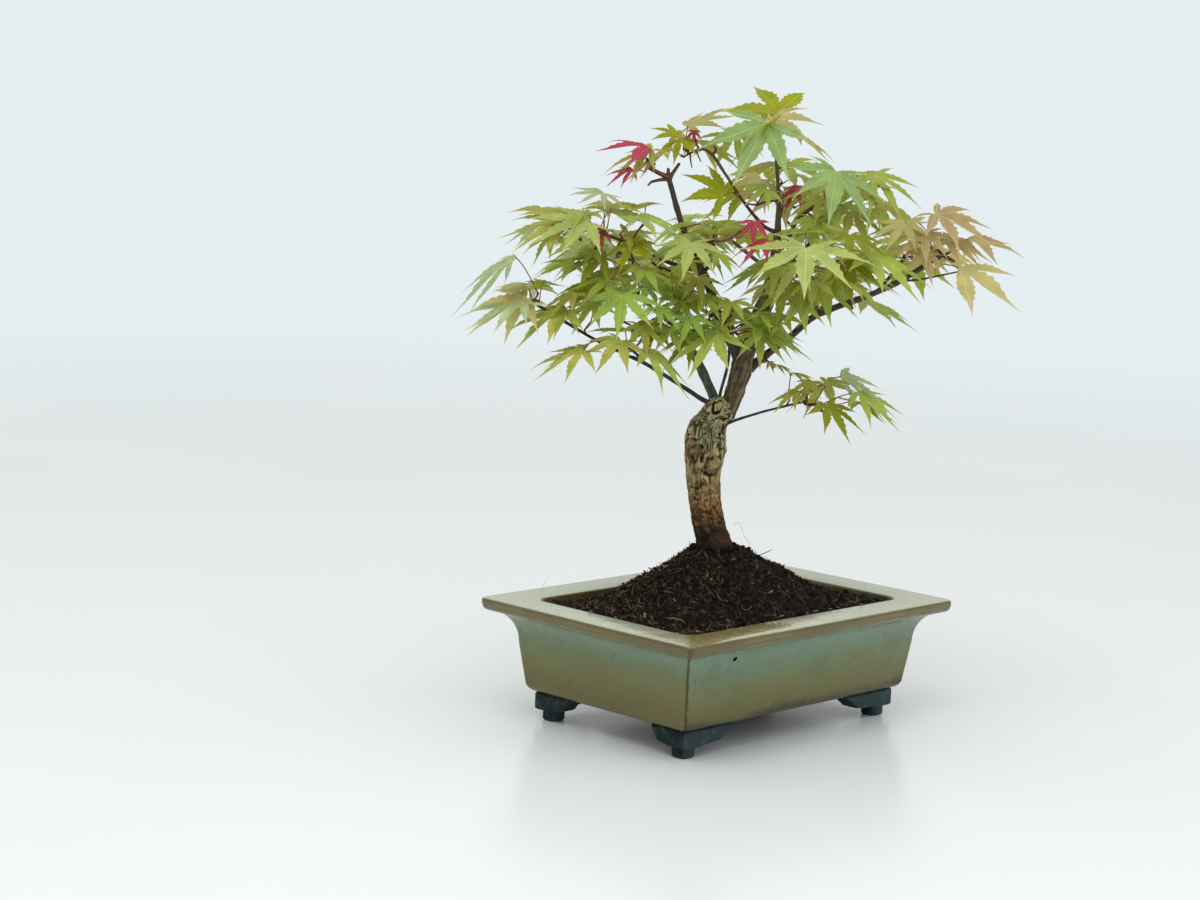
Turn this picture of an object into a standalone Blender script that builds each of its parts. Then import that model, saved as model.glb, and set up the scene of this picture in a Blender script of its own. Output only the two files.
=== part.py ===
"""A bonsai maple in a shallow rectangular glazed pot that stands on four corner feet.

Units are metres, +Z is up and the pot's long side lies along X. The tree is laid out in millimetres
in a frame turned 45 degrees to the pot and centred on it: `across` runs towards the pot's right-hand
corner, `back` towards its rear corner, and `up` is the height above a level 60 mm below the pot's rim.
"""

import math
import random

import bmesh
import bpy
from mathutils import Vector

MM = 0.001
GAP = 0.0003          # clearance between pieces that touch
TRIM_GAP = 0.00035    # clearance where a limb or a mass is cut round another limb

# Pot: glazed stoneware, a flat rim over a hollow neck and a steep wall.
POT_LENGTH = 0.200
POT_WIDTH = 0.146
POT_TOP = 0.063
FOOT_HEIGHT = 0.0150
LIP_HEIGHT = 0.0044
LIP_CHAMFER = 0.0003
BEAD_HEIGHT = 0.0014
BEAD_INSET = 0.0013
RIM_EASE = 0.0006
RIM_WIDTH = 0.0208
NECK_INSET = 0.006
NECK_DEPTH = 0.0074
NECK_HEIGHT = 0.015
WALL_TOP_INSET = 0.0134
WALL_FOOT_INSET = 0.0155
BASE_ROUND = 0.0050
INNER_FLOOR = 0.022
INNER_LEAN = 0.0008
FLOOR_BEVEL = 0.003
OUTER_CORNER = 0.0022
INNER_CORNER = 0.008
CORNER_STEPS = 3
ARC_STEPS = 4

# Feet: an L of two arms under each corner, stepped in to a small square pad.
FOOT_INSET = 0.0207
FOOT_LONG_ARM = 0.0275
FOOT_SHORT_ARM = 0.0185
FOOT_FLARE = 0.008
FOOT_SHORT_FLARE = 0.0027
FOOT_FLARE_CURVE = 2.5
FOOT_ARM_WIDTH = 0.0115
FOOT_STEP_HEIGHT = 0.0054
PAD_INSET = 0.0024
PAD_SIDE = 0.0100
PAD_CORNER = 0.0028
PAD_EASE = 0.0006
PAD_SUNK = 0.002

# Soil: a mound from the inside of the wall up to the foot of the trunk.
SOIL_EDGE = 0.0560
SOIL_PEAK = 0.0898
SOIL_LEVEL_RADIUS = 0.0125
SOIL_HOLLOW = 1.15
SOIL_RINGS = 6
SOIL_SPACING = 0.032

# Trunk and limbs: lengths of the tree's own frame are in millimetres.
TREE_ZERO = POT_TOP - 0.060
TRUNK_SIDES = 16
ROOT_FLARES = 5
ROOT_FLARE_SHARE = 0.10
ROOT_FLARE_RISE = 16.0
ROOT_FLARE_TURN = 1.0
LIMB_STEPS = 2
LIMB_END_LENGTH = 0.3
LIMB_END_WIDTH = 0.6

# Foliage masses: shares of a mass's own half-length, half-width and hang.
MASS_RINGS_ABOVE = (0.36, 0.70)
MASS_RINGS_BELOW = (0.55,)
LOBE_PHASES = 4
LOBE_REACH = (0.84, 1.12)
LOBE_DROOP = (0.70, 1.15)
NOTCH_REACH = (0.58, 0.72)
NOTCH_DROOP = 0.45

# Trunk: across, back, up and diameter at each level, from the flat cut on the soil to the knuckle.
TRUNK = (
    (-3.0, 0.0, 87.1, 24.0),
    (-3.8, 0.0, 90.0, 20.6),
    (-5.6, 0.3, 96.0, 18.0),
    (-8.0, 0.6, 106.0, 16.0),
    (-10.2, 1.0, 121.0, 16.4),
    (-10.4, 1.0, 130.0, 19.0),
    (-10.3, 0.6, 138.0, 21.2),
    (-10.0, 0.2, 146.5, 20.4),
    (-7.4, 0.0, 153.5, 18.6),
    (-5.0, 0.0, 159.5, 14.6),
    (-4.2, 0.0, 163.5, 11.0),
    (-4.0, 0.0, 165.5, 5.0),
)

# Limbs: name, number of sides, then across, back, up and diameter along each, from its root to its end.
LIMBS = (
    ("main_leader", 10, (
        (-3.0, 0.0, 156.0, 11.6), (0.6, 1.0, 168.0, 11.2), (7.5, 3.0, 186.7, 10.8), (15.0, 5.0, 204.9, 9.6),
        (19.9, 6.0, 222.9, 8.2), (21.0, 6.0, 237.0, 6.0), (21.4, 5.0, 256.8, 3.6), (20.3, 2.0, 274.0, 2.6),
        (17.0, 0.0, 304.0, 1.8))),
    ("second_leader", 8, (
        (6.0, 3.0, 179.5, 5.4), (2.2, 2.0, 189.2, 5.4), (-6.3, -2.0, 204.2, 4.8), (-12.8, -6.0, 221.6, 4.6),
        (-20.7, -9.0, 236.7, 3.8), (-28.0, -12.0, 252.7, 3.0), (-35.0, -15.0, 274.0, 2.6),
        (-36.2, -15.4, 279.0, 3.0))),
    ("grey_green_bough", 8, (
        (-6.0, 0.0, 160.0, 4.8), (-9.4, 3.0, 168.0, 4.6), (-16.7, 9.0, 182.5, 4.4), (-22.0, 15.0, 191.5, 4.0),
        (-24.4, 21.0, 201.0, 3.2), (-28.0, 33.0, 211.0, 2.6), (-35.0, 54.0, 222.0, 2.0))),
    ("right_bough", 8, (
        (10.0, 3.5, 180.0, 4.6), (19.0, 2.0, 188.0, 3.8), (30.0, 0.0, 197.3, 3.5), (42.8, -4.0, 209.2, 3.4),
        (68.8, -8.0, 220.7, 2.9), (84.0, -10.0, 228.8, 2.8), (95.8, -12.0, 237.2, 2.5),
        (104.0, -13.0, 242.8, 2.2))),
    ("low_left_bough", 6, (
        (-5.0, -1.0, 160.5, 2.8), (-12.5, -2.0, 163.0, 2.6), (-25.5, -8.0, 171.3, 2.1), (-44.5, -20.0, 183.1, 2.0),
        (-54.8, -26.0, 187.9, 1.6), (-71.1, -34.0, 196.1, 1.5), (-100.0, -48.0, 213.5, 1.5))),
    ("low_left_fork", 6, (
        (-44.5, -20.0, 183.1, 1.6), (-49.0, -26.0, 188.5, 1.5), (-54.0, -43.0, 193.5, 1.5))),
    ("low_right_bough", 6, (
        (-3.0, -2.0, 150.5, 2.6), (4.5, -5.0, 154.2, 2.0), (18.4, -14.0, 160.3, 1.7), (36.0, -22.0, 166.5, 1.6))),
    ("thin_stem", 6, (
        (-4.0, -4.5, 160.5, 1.8), (-3.4, -6.2, 167.0, 1.7), (-1.9, -9.0, 179.6, 1.6), (-1.4, -13.0, 190.0, 1.6),
        (-3.0, -26.0, 203.0, 1.5))),
    ("left_back_shoot", 6, (
        (-23.2, 18.0, 196.5, 2.0), (-31.0, 11.0, 200.5, 1.8), (-50.0, -16.0, 218.0, 1.6))),
    ("upper_left_shoot", 6, (
        (-17.0, -8.0, 229.5, 2.4), (-24.0, -12.0, 231.0, 2.1), (-39.1, -22.0, 235.9, 1.8),
        (-58.0, -34.0, 247.0, 1.6))),
    ("centre_shoot", 6, (
        (-16.5, -8.0, 229.0, 2.2), (-13.0, -13.0, 234.5, 1.8), (-12.5, -35.0, 250.0, 1.6))),
    ("top_left_stub", 6, (
        (-36.0, -15.4, 276.5, 2.4), (-41.0, -18.0, 278.6, 2.2), (-47.0, -21.5, 281.5, 1.8))),
    ("high_left_shoot", 6, (
        (21.0, 4.5, 250.0, 2.6), (13.5, 1.0, 253.5, 2.3), (2.6, -4.0, 265.6, 2.0), (-5.7, -8.0, 277.0, 1.9),
        (-14.3, -10.5, 287.5, 1.8), (-22.0, -13.0, 296.0, 1.6))),
    ("upper_right_shoot", 6, (
        (20.6, 6.0, 238.0, 2.8), (26.0, 5.0, 245.0, 2.3), (31.5, 3.5, 257.0, 2.1), (42.0, 1.5, 266.0, 1.8))),
    ("front_shoot", 6, (
        (20.9, 6.0, 231.0, 3.0), (24.5, -3.0, 233.0, 2.4), (34.0, -36.0, 241.0, 2.0))),
    ("back_bough", 6, (
        (18.5, 6.0, 216.0, 3.8), (24.5, 18.0, 221.0, 3.2), (33.0, 37.0, 231.0, 2.6), (44.0, 66.0, 243.0, 2.0))),
    ("back_left_bough", 6, (
        (26.0, 21.5, 222.5, 2.4), (19.0, 37.0, 229.0, 2.2), (-4.0, 86.0, 245.0, 1.8))),
    ("high_back_shoot", 6, (
        (21.4, 5.0, 256.0, 2.4), (23.5, 14.0, 262.0, 2.0), (25.0, 27.0, 268.0, 1.7))),
    ("right_mid_shoot", 6, (
        (42.8, -4.0, 209.2, 2.2), (46.0, 3.0, 213.0, 2.0), (54.0, 15.0, 220.0, 1.7))),
    ("right_back_shoot", 6, (
        (68.8, -8.0, 220.7, 2.2), (76.0, 6.0, 224.0, 2.0), (90.0, 36.0, 237.0, 1.7))),
    ("left_side_shoot", 6, (
        (-27.0, 29.0, 207.5, 2.0), (-38.0, 29.0, 220.0, 1.8), (-60.0, 25.0, 236.5, 1.6))),
)

# Foliage masses: name, middle (across, back, up), half-length, half-width, heading in degrees,
# rise above the middle, hang of the lobes below it, depth of the underside, number of lobes.
MASSES = (
    ("apex_foliage", (15.0, 0.0, 308.0), 34.0, 28.0, 172.0, 15.0, 25.0, 5.0, 6),
    ("top_left_foliage", (-28.0, -15.0, 298.0), 24.0, 18.0, 200.0, 9.0, 10.0, 5.0, 5),
    ("pink_foliage", (-58.0, -25.0, 285.0), 21.0, 16.0, 200.0, 8.0, 14.0, 4.0, 5),
    ("upper_left_foliage", (-73.0, -40.0, 253.0), 46.0, 34.0, 190.0, 14.0, 17.0, 6.0, 7),
    ("far_left_foliage", (-106.0, -51.0, 219.0), 35.0, 30.0, 200.0, 14.0, 20.0, 6.0, 6),
    ("mid_left_foliage", (-51.0, -24.0, 222.0), 32.0, 26.0, 170.0, 10.0, 17.0, 6.0, 6),
    ("low_left_foliage", (-60.0, -54.0, 194.0), 36.0, 20.0, 195.0, 9.0, 14.0, 4.0, 6),
    ("centre_foliage", (-13.5, -44.0, 253.0), 24.5, 22.0, 160.0, 19.0, 20.0, 5.0, 6),
    ("low_centre_foliage", (-2.0, -38.0, 205.0), 38.0, 26.0, 5.0, 12.0, 20.0, 5.0, 6),
    ("front_right_foliage", (38.0, -48.0, 243.0), 38.0, 28.0, 350.0, 14.0, 18.0, 6.0, 7),
    ("upper_right_foliage", (60.0, 2.0, 277.0), 38.0, 30.0, 340.0, 13.0, 20.0, 5.0, 7),
    ("right_mid_foliage", (57.0, 23.0, 223.0), 29.0, 24.0, 60.0, 12.0, 18.0, 6.0, 6),
    ("right_end_foliage", (110.0, -15.0, 248.0), 40.5, 29.0, 352.0, 19.0, 26.0, 6.0, 7),
    ("low_right_foliage", (52.0, -30.0, 172.0), 38.0, 26.0, 350.0, 13.0, 19.0, 4.0, 7),
    ("right_back_foliage", (97.0, 48.0, 242.0), 31.0, 26.0, 30.0, 13.0, 18.0, 6.0, 6),
    ("back_right_foliage", (48.0, 82.0, 246.0), 40.0, 32.0, 70.0, 14.0, 20.0, 7.0, 7),
    ("left_back_foliage", (-68.0, 24.0, 240.0), 32.0, 26.0, 150.0, 11.0, 15.0, 5.0, 6),
    ("back_left_foliage", (-40.0, 68.0, 226.0), 38.0, 30.0, 120.0, 12.0, 18.0, 6.0, 6),
    ("far_back_foliage", (-7.0, 98.0, 248.0), 36.0, 28.0, 95.0, 14.0, 18.0, 7.0, 6),
    ("high_back_foliage", (21.0, 48.0, 274.0), 36.0, 27.0, 75.0, 13.0, 18.0, 6.0, 6),
)


def clear_scene():
    for obj in list(bpy.data.objects):
        bpy.data.objects.remove(obj)


def finish_material(name, colour, roughness):
    material = bpy.data.materials.new(name)
    material.use_nodes = True
    shader = material.node_tree.nodes["Principled BSDF"]
    shader.inputs["Base Color"].default_value = (*colour, 1.0)
    shader.inputs["Roughness"].default_value = roughness
    shader.inputs["Metallic"].default_value = 0.0
    return material


def tree_point(across, back, up):
    """The place, in metres, of a point of the tree's own frame."""
    diagonal = math.sqrt(0.5)
    place = Vector(((back + across) * diagonal, (back - across) * diagonal, up)) * MM
    return place + Vector((0, 0, TREE_ZERO))


def rounded_rectangle(length, width, radius, height):
    """A level rounded rectangle round the pot's middle, anticlockwise."""
    points = []
    for corner, (side_x, side_y) in enumerate(((1, 1), (-1, 1), (-1, -1), (1, -1))):
        middle = Vector((side_x * (length / 2 - radius), side_y * (width / 2 - radius), height))
        for step in range(CORNER_STEPS + 1):
            angle = math.radians(90) * (corner + step / CORNER_STEPS)
            points.append(middle + radius * Vector((math.cos(angle), math.sin(angle), 0)))
    return points


def quarter(middle, reach, first, last):
    """Points of a quarter ellipse in the plane of inset and height, between two angles in degrees."""
    for step in range(ARC_STEPS + 1):
        angle = math.radians(first + (last - first) * step / ARC_STEPS)
        yield middle[0] + reach[0] * math.cos(angle), middle[1] + reach[1] * math.sin(angle)


def loft(rings):
    """A closed shape through rings of equally many points, capped at both ends."""
    shape = bmesh.new()
    rows = [[shape.verts.new(point) for point in ring] for ring in rings]
    for low, high in zip(rows, rows[1:]):
        for index in range(len(low)):
            beside = (index + 1) % len(low)
            shape.faces.new((low[index], low[beside], high[beside], high[index]))
    shape.faces.new(reversed(rows[0]))
    shape.faces.new(rows[-1])
    return shape


def add_node(name, shape, material, smooth_angle=None):
    """An object of the shape, with its faces turned outwards."""
    bmesh.ops.recalc_face_normals(shape, faces=shape.faces)
    mesh = bpy.data.meshes.new(name)
    shape.to_mesh(mesh)
    shape.free()
    if smooth_angle is not None:
        mesh.shade_smooth()
        mesh.set_sharp_from_angle(angle=math.radians(smooth_angle))
    mesh.materials.append(material)
    obj = bpy.data.objects.new(name, mesh)
    bpy.context.scene.collection.objects.link(obj)
    return obj


def combine(obj, other, operation):
    """Unites obj with the other mesh or cuts the other from it, and removes the other."""
    modifier = obj.modifiers.new(operation.lower(), "BOOLEAN")
    modifier.operation = operation
    modifier.solver = "EXACT"
    modifier.object = other
    graph = bpy.context.evaluated_depsgraph_get()
    shaped = bpy.data.meshes.new_from_object(obj.evaluated_get(graph))
    obj.modifiers.clear()
    obj.data = shaped
    bpy.data.objects.remove(other)


def pot_outline():
    """Inset from the rim's edge, and height, up the outside of the pot and over its rim."""
    under_lip = POT_TOP - LIP_HEIGHT
    neck_top = under_lip - BEAD_HEIGHT
    wall_top = neck_top - NECK_HEIGHT
    base_middle = (WALL_FOOT_INSET + BASE_ROUND, FOOT_HEIGHT + BASE_ROUND)
    yield from reversed(list(quarter(base_middle, (BASE_ROUND, BASE_ROUND), 180, 270)))
    yield from quarter((NECK_INSET, wall_top), (WALL_TOP_INSET - NECK_INSET, NECK_DEPTH * 2), 0, 90)
    yield BEAD_INSET, neck_top
    yield BEAD_INSET, under_lip - LIP_CHAMFER
    yield 0.0, under_lip
    yield 0.0, POT_TOP - RIM_EASE
    yield RIM_EASE, POT_TOP


def inner_inset(height):
    """How far the pot's inner wall lies from the rim's edge at a height."""
    return RIM_WIDTH + INNER_LEAN * (POT_TOP - height) / (POT_TOP - INNER_FLOOR)


def make_pot(material):
    rings = []
    for inset, height in pot_outline():
        size = (POT_LENGTH - 2 * inset, POT_WIDTH - 2 * inset)
        rings.append(rounded_rectangle(*size, OUTER_CORNER, height))
    for inset, height in (
        (RIM_WIDTH - RIM_EASE, POT_TOP),
        (RIM_WIDTH, POT_TOP - RIM_EASE),
        (inner_inset(INNER_FLOOR + FLOOR_BEVEL), INNER_FLOOR + FLOOR_BEVEL),
        (inner_inset(INNER_FLOOR) + FLOOR_BEVEL, INNER_FLOOR),
    ):
        size = (POT_LENGTH - 2 * inset, POT_WIDTH - 2 * inset)
        rings.append(rounded_rectangle(*size, INNER_CORNER, height))
    return add_node("pot", loft(rings), material, 30)


def foot_ring(side_x, side_y, long_arm, short_arm, height):
    """The L of one foot at a height, for the corner that side_x and side_y point to."""
    corner_x = POT_LENGTH / 2 - FOOT_INSET
    corner_y = POT_WIDTH / 2 - FOOT_INSET
    outline = (
        (0, 0),
        (long_arm, 0),
        (long_arm, FOOT_ARM_WIDTH),
        (FOOT_ARM_WIDTH, FOOT_ARM_WIDTH),
        (FOOT_ARM_WIDTH, short_arm),
        (0, short_arm),
    )
    return [Vector((side_x * (corner_x - x), side_y * (corner_y - y), height)) for x, y in outline]


def make_foot(name, side_x, side_y, material):
    rings = []
    foot_top = FOOT_HEIGHT - GAP
    for step in range(ARC_STEPS + 1):
        share = step / ARC_STEPS
        flare = share ** FOOT_FLARE_CURVE
        long_arm = FOOT_LONG_ARM + FOOT_FLARE * flare
        short_arm = FOOT_SHORT_ARM + FOOT_SHORT_FLARE * flare
        height = FOOT_STEP_HEIGHT + (foot_top - FOOT_STEP_HEIGHT) * share
        rings.append(foot_ring(side_x, side_y, long_arm, short_arm, height))
    foot = add_node(name, loft(rings), material)
    inset = FOOT_INSET + PAD_INSET + PAD_SIDE / 2
    middle = Vector((side_x * (POT_LENGTH / 2 - inset), side_y * (POT_WIDTH / 2 - inset), 0))
    pad_rings = []
    for height, ease in ((0.0, PAD_EASE), (PAD_EASE, 0.0), (FOOT_STEP_HEIGHT + PAD_SUNK, 0.0)):
        side = PAD_SIDE - 2 * ease
        ring = rounded_rectangle(side, side, PAD_CORNER, height)
        pad_rings.append([middle + point for point in ring])
    combine(foot, add_node("pad", loft(pad_rings), material), "UNION")
    return foot


def soil_height(place, middle, half_length, half_width):
    """Height of a mound that is round in plan, at a place between its middle and the wall."""
    away = place - middle
    share = math.hypot(away.x / half_length, away.y / half_width)
    level = SOIL_LEVEL_RADIUS * 2 / (half_length + half_width)
    share = min(1.0, max(0.0, share - level) / (1 - level))
    return SOIL_EDGE + (SOIL_PEAK - SOIL_EDGE) * (1 - share) ** SOIL_HOLLOW


def spaced_out(ring, spacing):
    """The ring with points added, so that no two neighbours are further apart than the spacing."""
    points = []
    for here, after in zip(ring, ring[1:] + ring[:1]):
        count = math.ceil((after - here).length / spacing)
        points.extend(here.lerp(after, step / count) for step in range(count))
    return points


def soil_outline(inset, height):
    """The level outline of the soil at an inset from the rim's edge, with its gap to the wall."""
    size = (POT_LENGTH - 2 * (inset + GAP), POT_WIDTH - 2 * (inset + GAP))
    return spaced_out(rounded_rectangle(*size, INNER_CORNER, height), SOIL_SPACING)


def make_soil(material):
    edge = soil_outline(inner_inset(SOIL_EDGE), 0)
    half_size = (max(point.x for point in edge), max(point.y for point in edge))
    trunk_foot = tree_point(TRUNK[0][0], TRUNK[0][1], 0)
    trunk_foot.z = 0
    bevel_top = INNER_FLOOR + FLOOR_BEVEL
    rings = [
        soil_outline(inner_inset(INNER_FLOOR) + FLOOR_BEVEL, INNER_FLOOR + GAP),
        soil_outline(inner_inset(bevel_top), bevel_top),
    ]
    for step in range(SOIL_RINGS, -1, -1):
        share = step / SOIL_RINGS
        ring = []
        for outer in edge:
            inner = trunk_foot + (outer - trunk_foot).normalized() * SOIL_LEVEL_RADIUS
            place = inner.lerp(outer, share)
            height = SOIL_PEAK if step == 0 else soil_height(place, trunk_foot, *half_size)
            ring.append(Vector((place.x, place.y, height)))
        rings.append(ring)
    return add_node("soil", loft(rings), material, 40)


def smooth_path(points):
    """A curve through rows of numbers (place and diameter), as a list of (place, diameter)."""
    rows = [(tree_point(*row[:3]), row[3] * MM) for row in points]
    padded = [rows[0], *rows, rows[-1]]
    path = []
    for before, here, after, beyond in zip(padded, padded[1:], padded[2:], padded[3:]):
        for step in range(LIMB_STEPS):
            t = step / LIMB_STEPS
            weights = (
                -0.5 * t + t * t - 0.5 * t ** 3,
                1 - 2.5 * t * t + 1.5 * t ** 3,
                0.5 * t + 2 * t * t - 1.5 * t ** 3,
                -0.5 * t * t + 0.5 * t ** 3,
            )
            place = Vector((0, 0, 0))
            for weight, row in zip(weights, (before, here, after, beyond)):
                place += weight * row[0]
            path.append((place, here[1] + (after[1] - here[1]) * t))
    path.append(rows[-1])
    return path


def limb_shape(points, sides, grow=0.0):
    """A tapering limb along a smooth path with a rounded end, thicker all over by grow."""
    path = smooth_path(points)
    end, width = path[-1]
    heading = (end - path[-2][0]).normalized()
    path[-1] = (end + heading * grow, width)
    path.append((end + heading * (grow + width * LIMB_END_LENGTH), width * LIMB_END_WIDTH))
    side_way = Vector((0, 0, 1)).cross(path[1][0] - path[0][0]).normalized()
    rings = []
    for index, (place, diameter) in enumerate(path):
        ahead = path[min(index + 1, len(path) - 1)][0]
        behind = path[max(index - 1, 0)][0]
        along = (ahead - behind).normalized()
        side_way = (side_way - along * side_way.dot(along)).normalized()
        other_way = along.cross(side_way)
        ring = []
        for side in range(sides):
            angle = 2 * math.pi * side / sides
            around = side_way * math.cos(angle) + other_way * math.sin(angle)
            ring.append(place + around * (diameter / 2 + grow))
        rings.append(ring)
    return loft(rings)


def trunk_shape(grow=0.0):
    """The trunk as level rings, its foot spread into root flares."""
    rings = []
    for across, back, up, diameter in TRUNK:
        middle = tree_point(across, back, up)
        flare = ROOT_FLARE_SHARE * max(0.0, 1 - (up - TRUNK[0][2]) / ROOT_FLARE_RISE)
        ring = []
        for side in range(TRUNK_SIDES):
            angle = 2 * math.pi * side / TRUNK_SIDES
            swell = 1 + flare * math.cos(ROOT_FLARES * angle + ROOT_FLARE_TURN)
            reach = diameter * MM / 2 * swell + grow
            ring.append(middle + reach * Vector((math.cos(angle), math.sin(angle), 0)))
        rings.append(ring)
    rings[-1] = [point + Vector((0, 0, grow)) for point in rings[-1]]
    return loft(rings)


def box_of(obj):
    low = [min(v.co[axis] for v in obj.data.vertices) for axis in range(3)]
    high = [max(v.co[axis] for v in obj.data.vertices) for axis in range(3)]
    return low, high


def boxes_meet(first, second):
    low_a, high_a = box_of(first)
    low_b, high_b = box_of(second)
    return all(low_a[i] < high_b[i] and low_b[i] < high_a[i] for i in range(3))


def trim_round(obj, standing):
    """Cuts obj back from each limb that already stands, with a small clearance."""
    for shape_of in standing:
        cutter = add_node("cutter", shape_of(TRIM_GAP), obj.data.materials[0])
        if boxes_meet(obj, cutter):
            combine(obj, cutter, "DIFFERENCE")
        else:
            bpy.data.objects.remove(cutter)


def mass_shape(name, middle, half_length, half_width, heading, rise, hang, depth, lobes):
    """A domed pad of foliage whose rim runs out into drooping lobes, each of its own reach."""
    chance = random.Random(name)
    reaches = [chance.uniform(*LOBE_REACH) for _ in range(lobes)]
    droops = [chance.uniform(*LOBE_DROOP) for _ in range(lobes)]
    notches = [chance.uniform(*NOTCH_REACH) for _ in range(lobes)]
    spokes = lobes * LOBE_PHASES
    turn = math.radians(heading)

    def spoke_point(index, share, upper):
        lobe = ((index + LOBE_PHASES // 2) // LOBE_PHASES) % lobes
        beside = (index // LOBE_PHASES) % lobes
        crest = 0.5 + 0.5 * math.cos(2 * math.pi * index / LOBE_PHASES)
        edge = notches[beside] + (reaches[lobe] - notches[beside]) * crest
        droop = hang * (NOTCH_DROOP + (droops[lobe] - NOTCH_DROOP) * crest)
        angle = 2 * math.pi * index / spokes
        along = half_length * edge * share * math.cos(angle)
        aside = half_width * edge * share * math.sin(angle)
        thick = rise if upper else -depth
        height = thick * (1 - share ** 2) - droop * share ** 2
        across = middle[0] + along * math.cos(turn) - aside * math.sin(turn)
        back = middle[1] + along * math.sin(turn) + aside * math.cos(turn)
        return tree_point(across, back, middle[2] + height)

    shape = bmesh.new()
    rim = [shape.verts.new(spoke_point(i, 1.0, True)) for i in range(spokes)]
    for upper in (True, False):
        thick = rise if upper else -depth
        centre = shape.verts.new(tree_point(middle[0], middle[1], middle[2] + thick))
        rows = []
        for share in MASS_RINGS_ABOVE if upper else MASS_RINGS_BELOW:
            rows.append([shape.verts.new(spoke_point(i, share, upper)) for i in range(spokes)])
        rows.append(rim)
        for index in range(spokes):
            beside = (index + 1) % spokes
            shape.faces.new((centre, rows[0][index], rows[0][beside]))
            for inner, outer in zip(rows, rows[1:]):
                shape.faces.new((inner[index], outer[index], outer[beside], inner[beside]))
    return shape


def centre_on_origin():
    """Moves every node so that the whole plant's box is centred over the origin."""
    nodes = [obj for obj in bpy.data.objects if obj.type == "MESH"]
    boxes = [box_of(obj) for obj in nodes]
    shift = Vector((0, 0, 0))
    for axis in range(2):
        lowest = min(low[axis] for low, _ in boxes)
        highest = max(high[axis] for _, high in boxes)
        shift[axis] = -(lowest + highest) / 2
    for obj in nodes:
        obj.location = shift
    print("the pot's middle lies at", [round(value, 4) for value in shift])


def main():
    clear_scene()
    glaze = finish_material("celadon_glaze", (0.17, 0.20, 0.13), 0.25)
    foot_clay = finish_material("dark_clay", (0.02, 0.03, 0.03), 0.6)
    compost = finish_material("potting_soil", (0.03, 0.02, 0.015), 0.95)
    bark = finish_material("trunk_bark", (0.30, 0.22, 0.13), 0.85)
    shoot_bark = finish_material("shoot_bark", (0.10, 0.09, 0.06), 0.7)
    leaf = finish_material("maple_leaves", (0.30, 0.36, 0.08), 0.6)

    make_pot(glaze)
    for name, side_x, side_y in (
        ("foot_front_left", -1, -1),
        ("foot_front_right", 1, -1),
        ("foot_back_left", -1, 1),
        ("foot_back_right", 1, 1),
    ):
        make_foot(name, side_x, side_y, foot_clay)
    make_soil(compost)

    add_node("trunk", trunk_shape(), bark, 50)
    standing = [trunk_shape]
    for name, sides, points in LIMBS:
        limb = add_node(name, limb_shape(points, sides), shoot_bark, 50)
        trim_round(limb, standing)
        standing.append(lambda grow, points=points, sides=sides: limb_shape(points, sides, grow))

    for name, *sizes in MASSES:
        mass = add_node(name, mass_shape(name, *sizes), leaf, 60)
        trim_round(mass, standing)

    centre_on_origin()


main()
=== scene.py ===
# %% [markdown]
# # A bonsai maple in a shallow glazed pot
#
# This notebook dresses a plain frame of solids as the real plant: a stoneware pot with a celadon
# glaze on four dark feet, a mound of potting soil, an old gnarled trunk with young limbs, and a
# thin, open canopy of maple leaves. The frame keeps every real size. Each step below first says
# what the piece is, how it could be made and why one way was chosen.

# %% Load the frame
import math
import random

import bpy
import numpy as np
from mathutils import Euler, Matrix, Vector, noise


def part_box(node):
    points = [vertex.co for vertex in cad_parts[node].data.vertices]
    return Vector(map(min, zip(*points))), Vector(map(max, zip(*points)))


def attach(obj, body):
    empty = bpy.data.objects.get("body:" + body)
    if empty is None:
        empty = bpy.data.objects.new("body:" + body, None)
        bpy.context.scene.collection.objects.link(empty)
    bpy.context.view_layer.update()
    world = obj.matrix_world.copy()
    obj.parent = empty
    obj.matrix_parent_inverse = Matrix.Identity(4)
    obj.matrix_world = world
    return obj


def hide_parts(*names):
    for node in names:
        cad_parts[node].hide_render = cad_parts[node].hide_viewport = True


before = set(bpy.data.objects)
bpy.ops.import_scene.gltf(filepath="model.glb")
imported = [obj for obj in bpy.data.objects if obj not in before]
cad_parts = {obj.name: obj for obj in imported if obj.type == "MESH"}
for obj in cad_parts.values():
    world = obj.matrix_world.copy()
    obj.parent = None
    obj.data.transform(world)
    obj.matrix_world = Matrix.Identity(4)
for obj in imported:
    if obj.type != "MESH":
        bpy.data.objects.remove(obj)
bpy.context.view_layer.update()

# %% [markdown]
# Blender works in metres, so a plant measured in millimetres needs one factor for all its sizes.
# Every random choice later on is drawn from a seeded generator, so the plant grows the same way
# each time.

MM = 0.001

# %% [markdown]
# A tree is easier to describe from where one stands to look at it than along the sides of its pot.
# The tree's own frame is turned 45 degrees: `across` runs to the right-hand corner of the pot,
# `back` to its rear corner and `up` is a height measured from 60 mm below the rim. The pot's own
# solid tells where its middle is, so nothing has to be measured twice.

# %% The pot's middle and the tree's frame
pot_low, pot_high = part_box("pot")
POT_TOP = 0.063
POT_MIDDLE = Vector(((pot_low.x + pot_high.x) / 2, (pot_low.y + pot_high.y) / 2, 0.0))
DIAGONAL = math.sqrt(0.5)
ACROSS = np.array((DIAGONAL, -DIAGONAL, 0.0))
BACK = np.array((DIAGONAL, DIAGONAL, 0.0))
UP = np.array((0.0, 0.0, 1.0))
TREE_ORIGIN = np.array((POT_MIDDLE.x, POT_MIDDLE.y, POT_TOP - 0.060))


def tree_places(rows):
    """Places in metres for one row, or many rows, of across, back and up in millimetres."""
    rows = np.asarray(rows, float)
    across, back, up = (rows[..., i:i + 1] for i in range(3))
    return TREE_ORIGIN + MM * (across * ACROSS + back * BACK + up * UP)


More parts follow.
